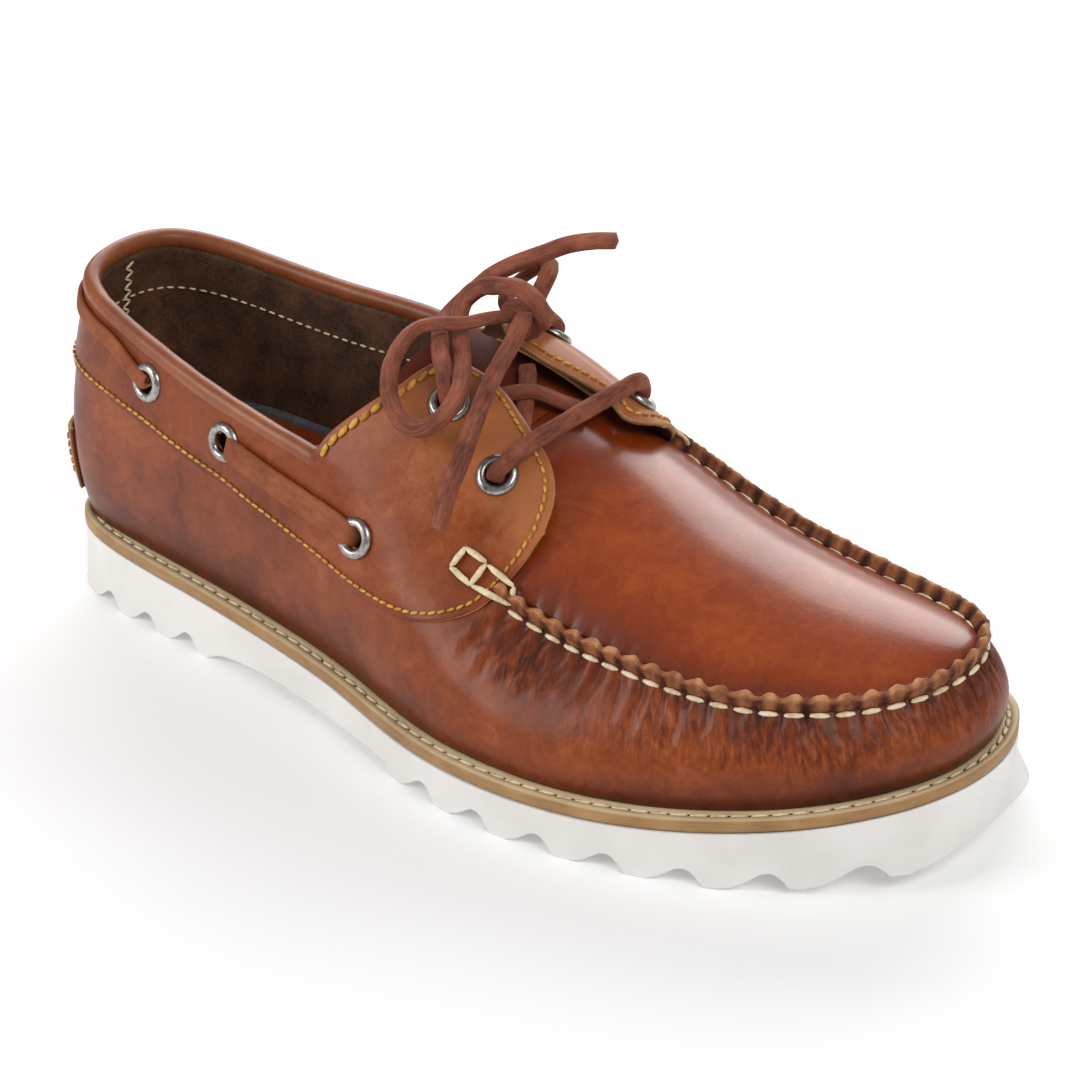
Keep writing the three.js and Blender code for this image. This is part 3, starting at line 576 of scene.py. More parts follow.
def walked(path: Path) -> list[float]:
    """Distance along a path at each of its points.

    Args:
        path: the path.

    Returns:
        One distance for each point.
    """
    distances = [0.0]
    for a, b in zip(path, path[1:]):
        distances.append(distances[-1] + (b - a).length)
    return distances


def heading(path: Path, i: int) -> Vector:
    """Direction of a path at one of its points."""
    return (path[min(i + 1, len(path) - 1)] - path[max(i - 1, 0)]).normalized()


def level_sides(path: Path, twist: Callable[[float], float] = lambda share: 0.0) -> Callable:
    """Section directions along a path that turn as little as they can, with an extra twist.

    Args:
        path: the centreline.
        twist: extra turn in radians, at a share of the path from 0 to 1.

    Returns:
        A function that gives the two directions at an index.
    """
    made: list[tuple[Vector, Vector]] = []
    across = Vector((0, 0, 0))
    for i in range(len(path)):
        along = heading(path, i)
        if i == 0:
            across = along.cross(Vector((0, 0, 1)))
            if across.length < 0.2:
                across = along.cross(Vector((0, 1, 0)))
        across = (across - along * across.dot(along)).normalized()
        up = across.cross(along).normalized()
        angle = twist(i / max(1, len(path) - 1))
        turned = across * math.cos(angle) + up * math.sin(angle)
        made.append((turned, turned.cross(along).normalized()))
    return lambda i: made[i]


def through(points: Sequence[Vector], step: float) -> Path:
    """Smooth path through points, sampled about every step millimetres.

    Args:
        points: where it passes.
        step: length of its steps.

    Returns:
        The path.
    """
    ends = [points[0] * 2 - points[1], *points, points[-1] * 2 - points[-2]]
    made: Path = []
    for p0, p1, p2, p3 in zip(ends, ends[1:], ends[2:], ends[3:]):
        count = max(2, round((p2 - p1).length / step))
        k1 = (p1 - p0).length ** 0.5
        k2 = k1 + (p2 - p1).length ** 0.5
        k3 = k2 + (p3 - p2).length ** 0.5
        for i in range(count):
            k = k1 + (k2 - k1) * i / count
            a1 = p0 * ((k1 - k) / k1) + p1 * (k / k1)
            a2 = p1 * ((k2 - k) / (k2 - k1)) + p2 * ((k - k1) / (k2 - k1))
            a3 = p2 * ((k3 - k) / (k3 - k2)) + p3 * ((k - k2) / (k3 - k2))
            b1 = a1 * ((k2 - k) / k2) + a2 * (k / k2)
            b2 = a2 * ((k3 - k) / (k3 - k1)) + a3 * ((k - k1) / (k3 - k1))
            made.append(b1 * ((k2 - k) / (k2 - k1)) + b2 * ((k - k1) / (k2 - k1)))
    made.append(points[-1].copy())
    return made


def oval(half_width: float, half_height: float, power: float, turn: float) -> tuple[float, float]:
    """Point of a rounded rectangle's outline at an angle in turns.

    Args:
        half_width: half its width.
        half_height: half its height.
        power: 2 for an ellipse, more for squarer corners.
        turn: the angle.

    Returns:
        The two offsets.
    """
    c = math.cos(2 * math.pi * turn)
    s = math.sin(2 * math.pi * turn)
    e = 2 / power
    return (
        half_width * math.copysign(abs(c) ** e, c),
        half_height * math.copysign(abs(s) ** e, s),
    )


def round_noise(distance: float, turn: float, seed: float) -> float:
    """Unevenness along and round a bar, the same at turn 0 and turn 1."""
    angle = 2 * math.pi * turn
    return rough(distance, seed + math.cos(angle), seed - math.sin(angle))


def solidify(piece: bpy.types.Object, thickness: float, offset: float = -1.0, inner: int = 0, rim: int = 0) -> None:
    """Give a sheet its thickness in millimetres, with material offsets for its inner face and its rim.

    Args:
        piece: the sheet.
        thickness: its thickness.
        offset: -1 to grow inwards from the sheet.
        inner: material offset of the inner face.
        rim: material offset of the rim.
    """
    wall = piece.modifiers.new("thickness", "SOLIDIFY")
    wall.thickness = thickness * MM
    wall.offset = offset
    wall.use_even_offset = False
    wall.use_quality_normals = True
    wall.material_offset = inner
    wall.material_offset_rim = rim


# ---- finishes
def linear(code: str) -> tuple[float, float, float, float]:
    """Linear colour of an sRGB hex value.

    Args:
        code: the colour, as #RRGGBB.

    Returns:
        Red, green, blue and 1.
    """
    parts = [int(code[i : i + 2], 16) / 255 for i in (1, 3, 5)]
    r, g, b = [p / 12.92 if p <= 0.04045 else ((p + 0.055) / 1.055) ** 2.4 for p in parts]
    return (r, g, b, 1.0)


def add(
    tree: bpy.types.NodeTree, kind: str, inputs: Optional[dict] = None, out: int | str = 0, **settings: object
) -> Optional[bpy.types.NodeSocket]:
    """Add a node with its settings and links.

    Args:
        tree: the material's node tree.
        kind: the node's type, without the words that all shader nodes start with.
        inputs: values or output sockets for its inputs, by name or number.
        out: the output to hand back, by name or number.
        settings: attributes of the node; stops holds the rows of a colour ramp.

    Returns:
        That output, or None if the node has none.
    """
    node = tree.nodes.new("ShaderNode" + kind)
    for name, value in settings.items():
        if name == "stops":
            ramp = node.color_ramp
            while len(ramp.elements) < len(value):
                ramp.elements.new(0.5)
            for element, (position, code) in zip(ramp.elements, value):
                element.position = position
                element.color = linear(code)
        else:
            setattr(node, name, value)
    for name, value in (inputs or {}).items():
        if isinstance(value, bpy.types.NodeSocket):
            tree.links.new(value, node.inputs[name])
        else:
            node.inputs[name].default_value = value
    return node.outputs[out] if node.outputs else None


def new_material(name: str) -> tuple[bpy.types.Material, bpy.types.NodeTree]:
    """Empty material and its node tree.

    Args:
        name: the material's name.

    Returns:
        The material and its tree.
    """
    material = bpy.data.materials.new(name)
    material.use_nodes = True
    material.node_tree.nodes.clear()
    return material, material.node_tree


def shade(tree: bpy.types.NodeTree, inputs: dict) -> None:
    """Add the shader with its inputs, and the material's output behind it."""
    add(tree, "OutputMaterial", {"Surface": add(tree, "BsdfPrincipled", inputs)})


@dataclass(frozen=True)
class BurnishedLeather:
    """Vegetable-tanned pull-up leather, waxed and burnished by hand: mottled, with a soft bright gloss."""

    name: str
    stops: tuple[tuple[float, str], ...]
    base: float = 0.0  # burnish where the piece has no attribute for it
    gloss: float = 0.3
    coat: float = 0.35
    shine: float = 0.3
    mottle_mm: float = 24.0
    grain_mm: float = 1.3  # pebble of the grain, drawn a little coarser than it is
    pore_mm: float = 0.5
    scuff_mm: float = 7.0
    wrinkle_mm: float = 1.5
    wrinkle_lean: float = 0.12

    def build(self) -> bpy.types.Material:
        """Make the material.

        Returns:
            The material.
        """
        material, tree = new_material(self.name)
        where = add(tree, "TexCoord", out="Object")
        mottle, pores, scuffs = (
            add(
                tree, "TexNoise",
                {"Vector": where, "Scale": 1 / (size * MM), "Detail": detail, "Roughness": fray, "Distortion": bend},
            )
            for size, detail, fray, bend in (
                (self.mottle_mm, 4.0, 0.55, 0.0), (self.pore_mm, 3.0, 0.6, 0.0), (self.scuff_mm, 7.0, 0.72, 1.2)
            )
        )
        # Burnish, with painted shade and painted light mixed in on some pieces, sets how dark the hide is, and mottle,
        # scuffs and pores break it up.
        burnish = add(tree, "Attribute", out="Fac", attribute_name="burnish")
        tone = add(tree, "Math", {0: mottle, 1: 0.7, 2: self.base - 0.78}, operation="MULTIPLY_ADD")
        for layer, share in ((scuffs, 0.6), (pores, 0.26), (burnish, 1.0)):
            tone = add(tree, "Math", {0: layer, 1: share, 2: tone}, operation="MULTIPLY_ADD")
        # Fine wrinkles run up and down the wall, only where the piece has an attribute for them, with painted shade in
        # their troughs and painted light on their crests.
        amount = add(tree, "Attribute", out="Fac", attribute_name="wrinkle")
        flat = add(tree, "TexCoord", out="UV")
        drawn = {"Vector": flat, "Rotation": (0, 0, self.wrinkle_lean), "Scale": (1 / self.wrinkle_mm, 0.11, 1.0)}
        lines = add(
            tree, "TexNoise", {"Vector": add(tree, "Mapping", drawn), "Scale": 1.0, "Detail": 3.0, "Distortion": 0.6}
        )
        folds = add(tree, "Math", {0: lines, 1: amount}, operation="MULTIPLY")
        # Painted shade and painted light: darker in the wrinkles' troughs and lighter on their crests.
        worn = add(tree, "Math", {0: lines, 1: -1.9, 2: 0.93}, operation="MULTIPLY_ADD")
        tone = add(tree, "Math", {0: worn, 1: amount, 2: tone}, operation="MULTIPLY_ADD", use_clamp=True)
        dull = add(
            tree, "MapRange",
            {"Value": mottle, "From Min": 0.3, "From Max": 0.7, "To Min": self.gloss, "To Max": self.gloss + 0.14},
        )
        grain = add(tree, "TexVoronoi", {"Vector": where, "Scale": 1 / (self.grain_mm * MM)}, feature="SMOOTH_F1")
        bump = add(tree, "Bump", {"Height": grain, "Strength": 0.5, "Distance": 0.07 * MM})
        bump = add(tree, "Bump", {"Height": pores, "Strength": 0.35, "Distance": 0.05 * MM, "Normal": bump})
        bump = add(tree, "Bump", {"Height": folds, "Strength": 1.0, "Distance": 1.0 * MM, "Normal": bump})
        shade(tree, {
            "Base Color": add(tree, "ValToRGB", {"Fac": tone}, stops=self.stops),
            "Roughness": add(tree, "Math", {0: amount, 1: 0.26, 2: dull}, operation="MULTIPLY_ADD"),
            "Normal": bump,
            "Specular IOR Level": self.shine,
            "Coat Weight": self.coat,
            "Coat Roughness": 0.2,
        })
        return material


@dataclass(frozen=True)
class NappedLeather:
    """Suede or rawhide: a dull fibrous face that catches the light at its edge, streaked along its length."""

    name: str
    dark: str
    light: str
    sheen: float = 0.25
    fibre_mm: float = 0.5
    streak: float = 1.0  # how many times longer than wide the fibres lie

    def build(self) -> bpy.types.Material:
        """Make the material.

        Returns:
            The material.
        """
        material, tree = new_material(self.name)
        where = add(tree, "TexCoord", out="Object")
        cloud = add(tree, "TexNoise", {"Vector": where, "Scale": 1 / (9 * MM), "Detail": 3.0})
        scale = 1 / (self.fibre_mm * MM)
        if self.streak > 1:
            flat = add(tree, "TexCoord", out="UV")
            where = add(tree, "Mapping", {"Vector": flat, "Scale": (1 / self.streak, 1.0, 1.0)})
            scale = 1 / self.fibre_mm
        fibre = add(tree, "TexNoise", {"Vector": where, "Scale": scale, "Detail": 4.0, "Roughness": 0.65})
        mixed = add(tree, "Math", {0: fibre, 1: cloud}, operation="ADD")
        tone = add(tree, "MapRange", {"Value": mixed, "From Min": 0.72, "From Max": 1.3})
        shade(tree, {
            "Base Color": add(tree, "ValToRGB", {"Fac": tone}, stops=((0.0, self.dark), (1.0, self.light))),
            "Normal": add(tree, "Bump", {"Height": fibre, "Strength": 0.7, "Distance": 0.18 * MM}),
            "Roughness": 0.86,
            "Sheen Weight": self.sheen,
            "Sheen Roughness": 0.5,
            "Sheen Tint": linear(self.light),
        })
        return material


@dataclass(frozen=True)
class WaxedThread:
    """Twisted thread drawn through wax: pale, with the twist as fine slanting ridges."""

    name: str
    dark: str
    light: str

    def build(self) -> bpy.types.Material:
        """Make the material.

        Returns:
            The material.
        """
        material, tree = new_material(self.name)
        where = add(tree, "TexCoord", out="Object")
        worn = add(tree, "TexNoise", {"Vector": where, "Scale": 1 / (2.5 * MM), "Detail": 3.0})
        twist = add(
            tree, "TexWave", {"Vector": where, "Scale": 1 / (2.2 * MM), "Distortion": 1.5}, "Fac",
            bands_direction="DIAGONAL",
        )
        shade(tree, {
            "Base Color": add(tree, "ValToRGB", {"Fac": worn}, stops=((0.3, self.dark), (0.6, self.light))),
            "Normal": add(tree, "Bump", {"Height": twist, "Strength": 0.4, "Distance": 0.1 * MM}),
            "Roughness": 0.55,
        })
        return material


@dataclass(frozen=True)
class MouldedRubber:
    """Foamed white rubber from a mould: even and matt, with a very fine skin and softened edges."""

    name: str = "moulded_white_rubber"
    clean: str = "#EFECE8"
    worn: str = "#E2DED8"
    edge_mm: float = 0.5

    def build(self) -> bpy.types.Material:
        """Make the material.

        Returns:
            The material.
        """
        material, tree = new_material(self.name)
        where = add(tree, "TexCoord", out="Object")
        cloud = add(tree, "TexNoise", {"Vector": where, "Scale": 1 / (30 * MM), "Detail": 4.0})
        skin = add(tree, "TexNoise", {"Vector": where, "Scale": 1 / (0.7 * MM), "Detail": 3.0})
        edge = add(tree, "Bevel", {"Radius": self.edge_mm * MM}, samples=4)
        shade(tree, {
            "Base Color": add(tree, "ValToRGB", {"Fac": cloud}, stops=((0.3, self.worn), (0.6, self.clean))),
            "Normal": add(tree, "Bump", {"Height": skin, "Strength": 0.25, "Distance": 0.06 * MM, "Normal": edge}),
            "Roughness": 0.55,
        })
        return material


@dataclass(frozen=True)
class WaxedWelt:
    """Vegetable-tanned welt: a pale top face, and a cut edge with its fibres lying along it, waxed brown."""

    name: str = "waxed_welt"
    top_stops: tuple[tuple[float, str], ...] = ((0.25, "#B39468"), (0.6, "#D3BC93"))
    edge_stops: tuple[tuple[float, str], ...] = ((0.25, "#7A5832"), (0.5, "#A57C4C"), (0.75, "#C39C69"))

    def build(self) -> bpy.types.Material:
        """Make the material.

        Returns:
            The material.
        """
        material, tree = new_material(self.name)
        where = add(tree, "TexCoord", out="Object")
        along = add(tree, "Mapping", {"Vector": add(tree, "TexCoord", out="UV"), "Scale": (0.08, 1.6, 1.0)})
        fibre = add(tree, "TexNoise", {"Vector": along, "Scale": 1.4, "Detail": 5.0, "Roughness": 0.6})
        cloud = add(tree, "TexNoise", {"Vector": where, "Scale": 1 / (12 * MM), "Detail": 3.0})
        tone = add(tree, "Mix", {"Factor": 0.5, 2: fibre, 3: cloud})
        edge = add(tree, "ValToRGB", {"Fac": tone}, stops=self.edge_stops)
        top = add(tree, "ValToRGB", {"Fac": tone}, stops=self.top_stops)
        face = add(tree, "Attribute", out="Fac", attribute_name="top_face")
        shade(tree, {
            "Base Color": add(tree, "Mix", {"Factor": face, "A": edge, "B": top}, "Result", data_type="RGBA"),
            "Normal": add(tree, "Bump", {"Height": fibre, "Strength": 0.6, "Distance": 0.15 * MM}),
            "Roughness": 0.6,
        })
        return material


@dataclass(frozen=True)
class DarkNickel:
    """Pressed brass eyelet, plated dark nickel: a clear reflection, a little scuffed round the rim."""

    name: str = "dark_nickel_plate"
    dark: str = "#8A8782"
    light: str = "#B2B0AC"

    def build(self) -> bpy.types.Material:
        """Make the material.

        Returns:
            The material.
        """
        material, tree = new_material(self.name)
        where = add(tree, "TexCoord", out="Object")
        scuff = add(tree, "TexNoise", {"Vector": where, "Scale": 1 / (1.2 * MM), "Detail": 4.0})
        shade(tree, {
            "Base Color": add(tree, "ValToRGB", {"Fac": scuff}, stops=((0.3, self.dark), (0.6, self.light))),
            "Roughness": add(tree, "MapRange", {"Value": scuff, "To Min": 0.16, "To Max": 0.42}),
            "Metallic": 1.0,
        })
        return material


class Finish(Enum):
    """Finishes of the shoe, by the piece that they are made for."""

    LEATHER = BurnishedLeather(
        "burnished_leather", ((0.0, "#AE683F"), (0.3, "#8F421A"), (0.6, "#682A0F"), (1.0, "#33120B")),
        coat=0.14, shine=0.2,
    )
    PLUG = BurnishedLeather(
        "burnished_plug_leather", ((0.0, "#AE5320"), (0.35, "#8F380B"), (0.7, "#692509"), (1.0, "#34110A")),
        gloss=0.27, coat=0.5,
    )
    COLLAR = BurnishedLeather(
        "soft_collar_leather", ((0.0, "#A66038"), (0.5, "#7C3F22"), (1.0, "#4A2316")),
        base=0.35, gloss=0.38, coat=0.15,
    )
    SOCK = BurnishedLeather(
        "sock_leather", ((0.0, "#A04C26"), (0.5, "#7D3519"), (1.0, "#4D1E10")),
        base=0.35, gloss=0.62, coat=0.0, shine=0.15,
    )
    # Painted shade: the lining's dark colour is the suede in shade, mixed at random with its lit colour.
    LINING = NappedLeather("lining_suede_lit_and_shaded", "#2E1B11", "#6E472D", sheen=0.2, fibre_mm=0.9)
    CUT_EDGE = NappedLeather("cut_leather_edge", "#94643A", "#D0A268", sheen=0.1, fibre_mm=0.5)
    LACE = NappedLeather("rawhide_lace", "#55261A", "#A05A40", sheen=0.3, fibre_mm=0.55, streak=7.0)
    SEAM = BurnishedLeather(
        "raw_seam_leather", ((0.0, "#C48E60"), (0.35, "#9C6039"), (0.7, "#6A3820"), (1.0, "#2C140D")),
        gloss=0.6, coat=0.0, mottle_mm=4.0, scuff_mm=2.5,
    )
    STRIP = NappedLeather("leather_strip", "#7A3B20", "#A05A34", sheen=0.1, fibre_mm=0.5, streak=5.0)
    CREAM_THREAD = WaxedThread("cream_waxed_thread", "#C9AE84", "#EDDDBC")
    GOLD_THREAD = WaxedThread("gold_waxed_thread", "#A0641B", "#DDA63E")
    # Painted shade: near-black spots stand for the shade inside each needle hole.
    HOLE_SHADE = NappedLeather("needle_hole_painted_shade", "#1B0E08", "#2A160D", sheen=0.0)
    FOAM = NappedLeather("insole_foam", "#3C3F45", "#6C6F76", sheen=0.1, fibre_mm=0.8)
    RUBBER = MouldedRubber()
    WELT = WaxedWelt()
    NICKEL = DarkNickel()


class Wardrobe:
    """Builds each finish once and dresses pieces with them."""

    def __init__(self) -> None:
        """Start with no finish built."""
        self.made: dict[Finish, bpy.types.Material] = {}

    def dress(self, piece: bpy.types.Object, slot: str, nodes: Sequence[str], *finishes: Finish) -> bpy.types.Object:
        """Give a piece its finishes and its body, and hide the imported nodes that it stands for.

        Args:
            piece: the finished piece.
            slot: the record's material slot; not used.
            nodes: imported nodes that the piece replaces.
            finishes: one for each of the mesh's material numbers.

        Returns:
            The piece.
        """
        for finish in finishes:
            if finish not in self.made:
                self.made[finish] = finish.value.build()
            piece.data.materials.append(self.made[finish])
        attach(piece, "root")
        if nodes:
            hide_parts(*nodes)
        LOG.info("%s: %d faces", piece.name, len(piece.data.polygons))
        return piece


# ---- seams
@dataclass(frozen=True)
class Stitch:
    """Sizes of one kind of stitch, in millimetres."""

    pitch: float
    length: float
    width: float
    height: float
    sink: float = 0.1


class Seams:
    """Sews rows of stitches as joined meshes of small beads."""

    def __init__(self, maker: Maker, wardrobe: Wardrobe) -> None:
        """Keep the tools."""
        self.maker = maker
        self.form = maker.form
        self.wardrobe = wardrobe

    def row(
        self,
        name: str,
        spots: Sequence[tuple],
        stitch: Stitch,
        thread: Finish,
        slot: str = "upper_leather",
        holes: bool = False,
        slant: float = 0.0,
    ) -> None:
        """Sew one row.

        Args:
            name: the piece's name.
            spots: centre, direction and outward normal of each stitch, in millimetres, and its own length if any.
            stitch: its sizes.
            thread: the thread's finish.
            slot: the record's slot of the leather that it is sewn in.
            holes: also put a near-black spot at each end, painted shade of the needle hole.
            slant: turn of each stitch about its normal, in radians.
        """
        mesh = bmesh.new()
        chance = random.Random(name)
        for centre, along, normal, *own in spots:
            up = (normal - along * normal.dot(along)).normalized()
            angle = slant + chance.uniform(-0.05, 0.05)
            forward = along * math.cos(angle) + up.cross(along) * math.sin(angle)
            side = up.cross(forward)
            length = own[0] if own else stitch.length * chance.uniform(0.94, 1.04)
            middle = self.form.place(centre + up * (stitch.height / 2 - stitch.sink))
            turn = Matrix((forward, side, up)).transposed().to_4x4()
            size = Matrix.Diagonal((length * MM / 2, stitch.width * MM / 2, stitch.height * MM / 2, 1))
            matrix = Matrix.Translation(middle) @ turn @ size
            made = bmesh.ops.create_uvsphere(mesh, u_segments=7, v_segments=6, radius=1, matrix=matrix)
            # The sphere's poles point along the normal; flatten the belly so that the thread lies full.
            for vert in made["verts"]:
                local = matrix.inverted() @ vert.co
                fuller = math.copysign(abs(local.x) ** 0.8, local.x)
                vert.co = matrix @ Vector((fuller, local.y * 1.08, local.z))
            if holes:
                # Painted shade: a flat near-black spot at each end stands for the shaded needle hole.
                spot = self.form.place(centre + forward * (stitch.pitch / 2) + up * 0.02)
                size = Matrix.Diagonal((0.5 * MM, stitch.width * 0.55 * MM, 0.12 * MM, 1))
                dark = bmesh.ops.create_uvsphere(
                    mesh, u_segments=6, v_segments=4, radius=1, matrix=Matrix.Translation(spot) @ turn @ size
                )
                for vert in dark["verts"]:
                    for face in vert.link_faces:
                        face.material_index = 1
        piece = self.maker.finish(mesh, name)
        self.wardrobe.dress(piece, slot, (), thread, Finish.HOLE_SHADE)

    def along(self, surface: Surface, knots: Sequence[tuple[float, float]], pitch: float, lift: float = 0.0) -> list:
        """Stitch spots along a line on a surface.

        Args:
            surface: the surface, in millimetres.
            knots: parameters of the line's points, close enough for straight steps between them.
            pitch: from one stitch to the next.
            lift: distance off the surface.

        Returns:
            Centre, direction and normal of each stitch.
        """
        path = []
        normals = []
        for (t0, q0), (t1, q1) in zip(knots, knots[1:]):
            for share in (0.0, 0.25, 0.5, 0.75):
                t, q = t0 + (t1 - t0) * share, q0 + (q1 - q0) * share
                normal = self.form.normal(surface, t, q)
                path.append(surface(t, q) + normal * lift)
                normals.append(normal)
        return self.spots_on(path, normals, pitch)

    @staticmethod
    def spots_on(path: Path, normals: Sequence[Vector], pitch: float) -> list:
        """Stitch spots every pitch along a path that has a normal at each point.

        Args:
            path: the line.
            normals: outward normals along it.
            pitch: from one stitch to the next.

        Returns:
            Centre, direction and normal of each stitch.
        """
        spots = []
        gone = 0.0
        wanted = pitch / 2
        for i in range(len(path) - 1):
            step = (path[i + 1] - path[i]).length
            while step > 0 and gone + step >= wanted:
                share = (wanted - gone) / step
                centre = path[i].lerp(path[i + 1], share)
                normal = normals[i].lerp(normals[i + 1], share).normalized()
                spots.append((centre, (path[i + 1] - path[i]).normalized(), normal))
                wanted += pitch
            gone += step
        return spots


@dataclass
class Assembly:
    """What every part of the shoe is made with."""

    maker: Maker
    wardrobe: Wardrobe
    seams: Seams

    @property
    def form(self) -> ShoeForm:
        """The last."""
        return self.maker.form


# ---- sole
@dataclass
class Sole(Assembly):
    """Outsole, welt and insole with their stitches; sizes in millimetres."""

    heel_first: float = 11.5
    heel_pitch: float = 17
    heel_count: int = 3
    fore_first: float = 145
    fore_pitch: float = 18.9
    land: float = 3.6
    groove: float = 4.4
    fade_height: float = 14
    bed_rise: float = 12.5
    sewn_margin: float = 2.6  # the welt is sewn where it shows wider than this
    welt_stitch: Stitch = Stitch(5.0, 4.7, 1.25, 1.0, 0.25)

    def __post_init__(self) -> None:
        """Work out the curves of the cleats and of the flare."""
        self.cleat = OpenCurve(((0, 0), (0.1, 0.02), (0.28, 0.28), (0.43, 0.62), (0.56, 0.93), (0.65, 1.0),
                                (0.75, 0.93), (0.88, 0.5), (0.96, 0.1), (1, 0)))
        self.arch_start = self.heel_first + self.heel_count * self.heel_pitch + self.land
        self.arch = OpenCurve(((self.arch_start, 0), *ARCH, (self.fore_first, 0)))
        self.flare = LoopCurve([0.9 + 5.9 * hump(i - TOE - 1, 1.9) for i in range(TURN)])

    def bottom(self, s: float) -> float:
        """Height of the sole's underside at s.

        Args:
            s: distance from the back of the heel.

        Returns:
            The height.
        """
        if s < self.heel_first + self.land:
            return 0.0
        if self.arch_start < s < self.fore_first:
            return max(0.0, self.arch(s))
        at_heel = s <= self.arch_start
        first, pitch = (self.heel_first, self.heel_pitch) if at_heel else (self.fore_first, self.fore_pitch)
        start = first + math.floor((s - first) / pitch) * pitch
        share = (s - start - self.land) / (pitch - self.land)
        if share <= 0:
            return self.form.toe_spring(start)
        return self.form.toe_spring(s) + self.groove * max(0.0, self.cleat(share))

    def outsole(self) -> None:
        """Cleated outsole: the outline's block, cut to the side profile."""
        form = self.form
        low, high = -6.0, 45.0

        def side(t: float, b: float) -> Vector:
            """Outline of the block, flared out towards the ground at the toe."""
            z = (low, self.fade_height, high)[round(b * 2)]
            reach = self.flare(t) * max(0.0, 1 - z / self.fade_height)
            return form.edge_point(t, reach, z)

        block = self.maker.sheet("cleated_outsole", spread(0, TURN, 288), 2, side, closed=True)
        mesh = bmesh.new()
        stations = spread(-8, 300, 616)
        profile = [(s, self.bottom(s)) for s in stations] + [(s, form.sole_top(s)) for s in reversed(stations)]
        verts = [mesh.verts.new(form.at(s, -80, z)) for s, z in profile]
        face = mesh.faces.new(verts)
        across = form.at(0, 80, 0) - form.at(0, -80, 0)
        made = bmesh.ops.extrude_face_region(mesh, geom=[face])
        bmesh.ops.translate(mesh, vec=across, verts=[v for v in made["geom"] if isinstance(v, bmesh.types.BMVert)])
        bmesh.ops.recalc_face_normals(mesh, faces=mesh.faces[:])
        slab = self.maker.finish(mesh, "profile_slab")
        cut = block.modifiers.new("profile", "BOOLEAN")
        cut.operation = "INTERSECT"
        cut.solver = "EXACT"
        cut.object = slab
        made_mesh = bpy.data.meshes.new_from_object(block.evaluated_get(bpy.context.evaluated_depsgraph_get()))
        block.modifiers.clear()
        bpy.data.objects.remove(slab)
        mesh = bmesh.new()
        mesh.from_mesh(made_mesh)
        bmesh.ops.remove_doubles(mesh, verts=mesh.verts[:], dist=0.02 * MM)
        for edge in mesh.edges:
            edge.smooth = len(edge.link_faces) == 2 and edge.calc_face_angle(0) < math.radians(32)
        for face in mesh.faces:
            face.smooth = True
        bmesh.ops.triangulate(mesh, faces=[f for f in mesh.faces if len(f.verts) > 4])
        mesh.to_mesh(block.data)
        mesh.free()
        block.data.materials.clear()
        self.wardrobe.dress(block, "rubber_white", ("outsole",), Finish.RUBBER)

    def welt(self) -> None:
        """Welt with the stitch groove in its top face and a rounded waxed edge."""
        profile = (
            (9, 4.0), (4.5, 4.0), (3.55, 3.95), (3.2, 3.45), (2.3, 3.4), (1.95, 3.95), (1.0, 4.0), (0.4, 3.85),
            (0.05, 3.4), (0, 2.6), (0, 1.8), (0.02, 1.0), (0.2, 0.5), (0.7, 0.3), (4, 0.3), (9, 0.3), (9, 2.0),
            (9, 4.0),
        )
        rows = len(profile) - 1

        def at(t: float, b: float) -> Vector:
            """Point of the profile, carried round the shoe."""
            inset, height = profile[round(b * rows)]
            ripple = 0.12 * rough(t * 2.1, height * 0.4, 3.0)
            return self.form.on_sole(t, -inset + (ripple if inset < 1 else 0), height)

        piece = self.maker.sheet(
            "grooved_welt", spread(0, TURN, 540), rows, at,
            marks={"top_face": lambda t, b: 1.0 if 0 < round(b * rows) < 8 else 0.0},
            uv=lambda t, b: (t * 30, b * 24),
            closed=True,
        )
        self.wardrobe.dress(piece, "welt_tan", ("welt",), Finish.WELT)

    def welt_stitches(self) -> None:
        """Cream lock stitches in the welt's groove."""
        path = [
            self.form.on_sole(t, -2.75, 3.4) for t in spread(0, TURN, 960) if self.form.margin(t) >= self.sewn_margin
        ]
        normals = [Vector((0, 0, 1))] * len(path)
        spots = self.seams.spots_on(path, normals, self.welt_stitch.pitch)
        self.seams.row("welt_stitches", spots, self.welt_stitch, Finish.CREAM_THREAD, "welt_tan", True, 0.1)

    def sock(self, t: float, u: float) -> Vector:
        """Top face of the sock: raised on its foam at the heel and the waist, most on the inner side.

        Args:
            t: station round the shoe.
            u: place across, 0 lateral to 2 medial.

        Returns:
            The point, in millimetres.
        """
        form = self.form
        inset = form.wall_thickness + 1.0
        q = 0.04 + 0.2 * smooth(8.0, 5.0, t)
        p = form.off(form.wall, t, q, -inset).lerp(form.off(form.wall, TURN - t, q, -inset), u / 2)
        height = form.welt_thickness + form.gap + form.insole_thickness
        back = smooth(190, 120, -p.y)
        rise = self.bed_rise * back + (1.5 + 2.0 * smooth(1.0, 2.0, u)) * back * abs(u - 1) ** 3
        p.z = form.sole_top(-p.y) + height + rise + 0.25 * noise.noise(p / 14)
        return p

    def insole(self) -> None:
        """Leather sock, dished at the heel."""
        columns = [TOE * (1 - math.cos(math.pi * i / 90)) / 2 for i in range(91)]
        piece = self.maker.sheet(
            "dished_insole", columns, 30, lambda t, b: self.sock(t, 2 * b), uv=lambda t, b: (t * 24, b * 70)
        )
        solidify(piece, 1.8)
        self.wardrobe.dress(piece, "sock_leather", ("insole",), Finish.SOCK)

    def insole_foam(self) -> None:
        """Grey foam that shows round the sock's edge."""
        path = [
            self.sock(abs(t), 1.985 if t < 0 else 0.015) - Vector((0, 0, 1.4)) for t in spread(-7, 7, 240)
        ]
        piece = self.maker.bar(
            "insole_foam", path, lambda d, turn: oval(1.9, 2.3, 3, turn), level_sides(path), rows=10, round_ends=3
        )
        self.wardrobe.dress(piece, "sock_leather", (), Finish.FOAM)

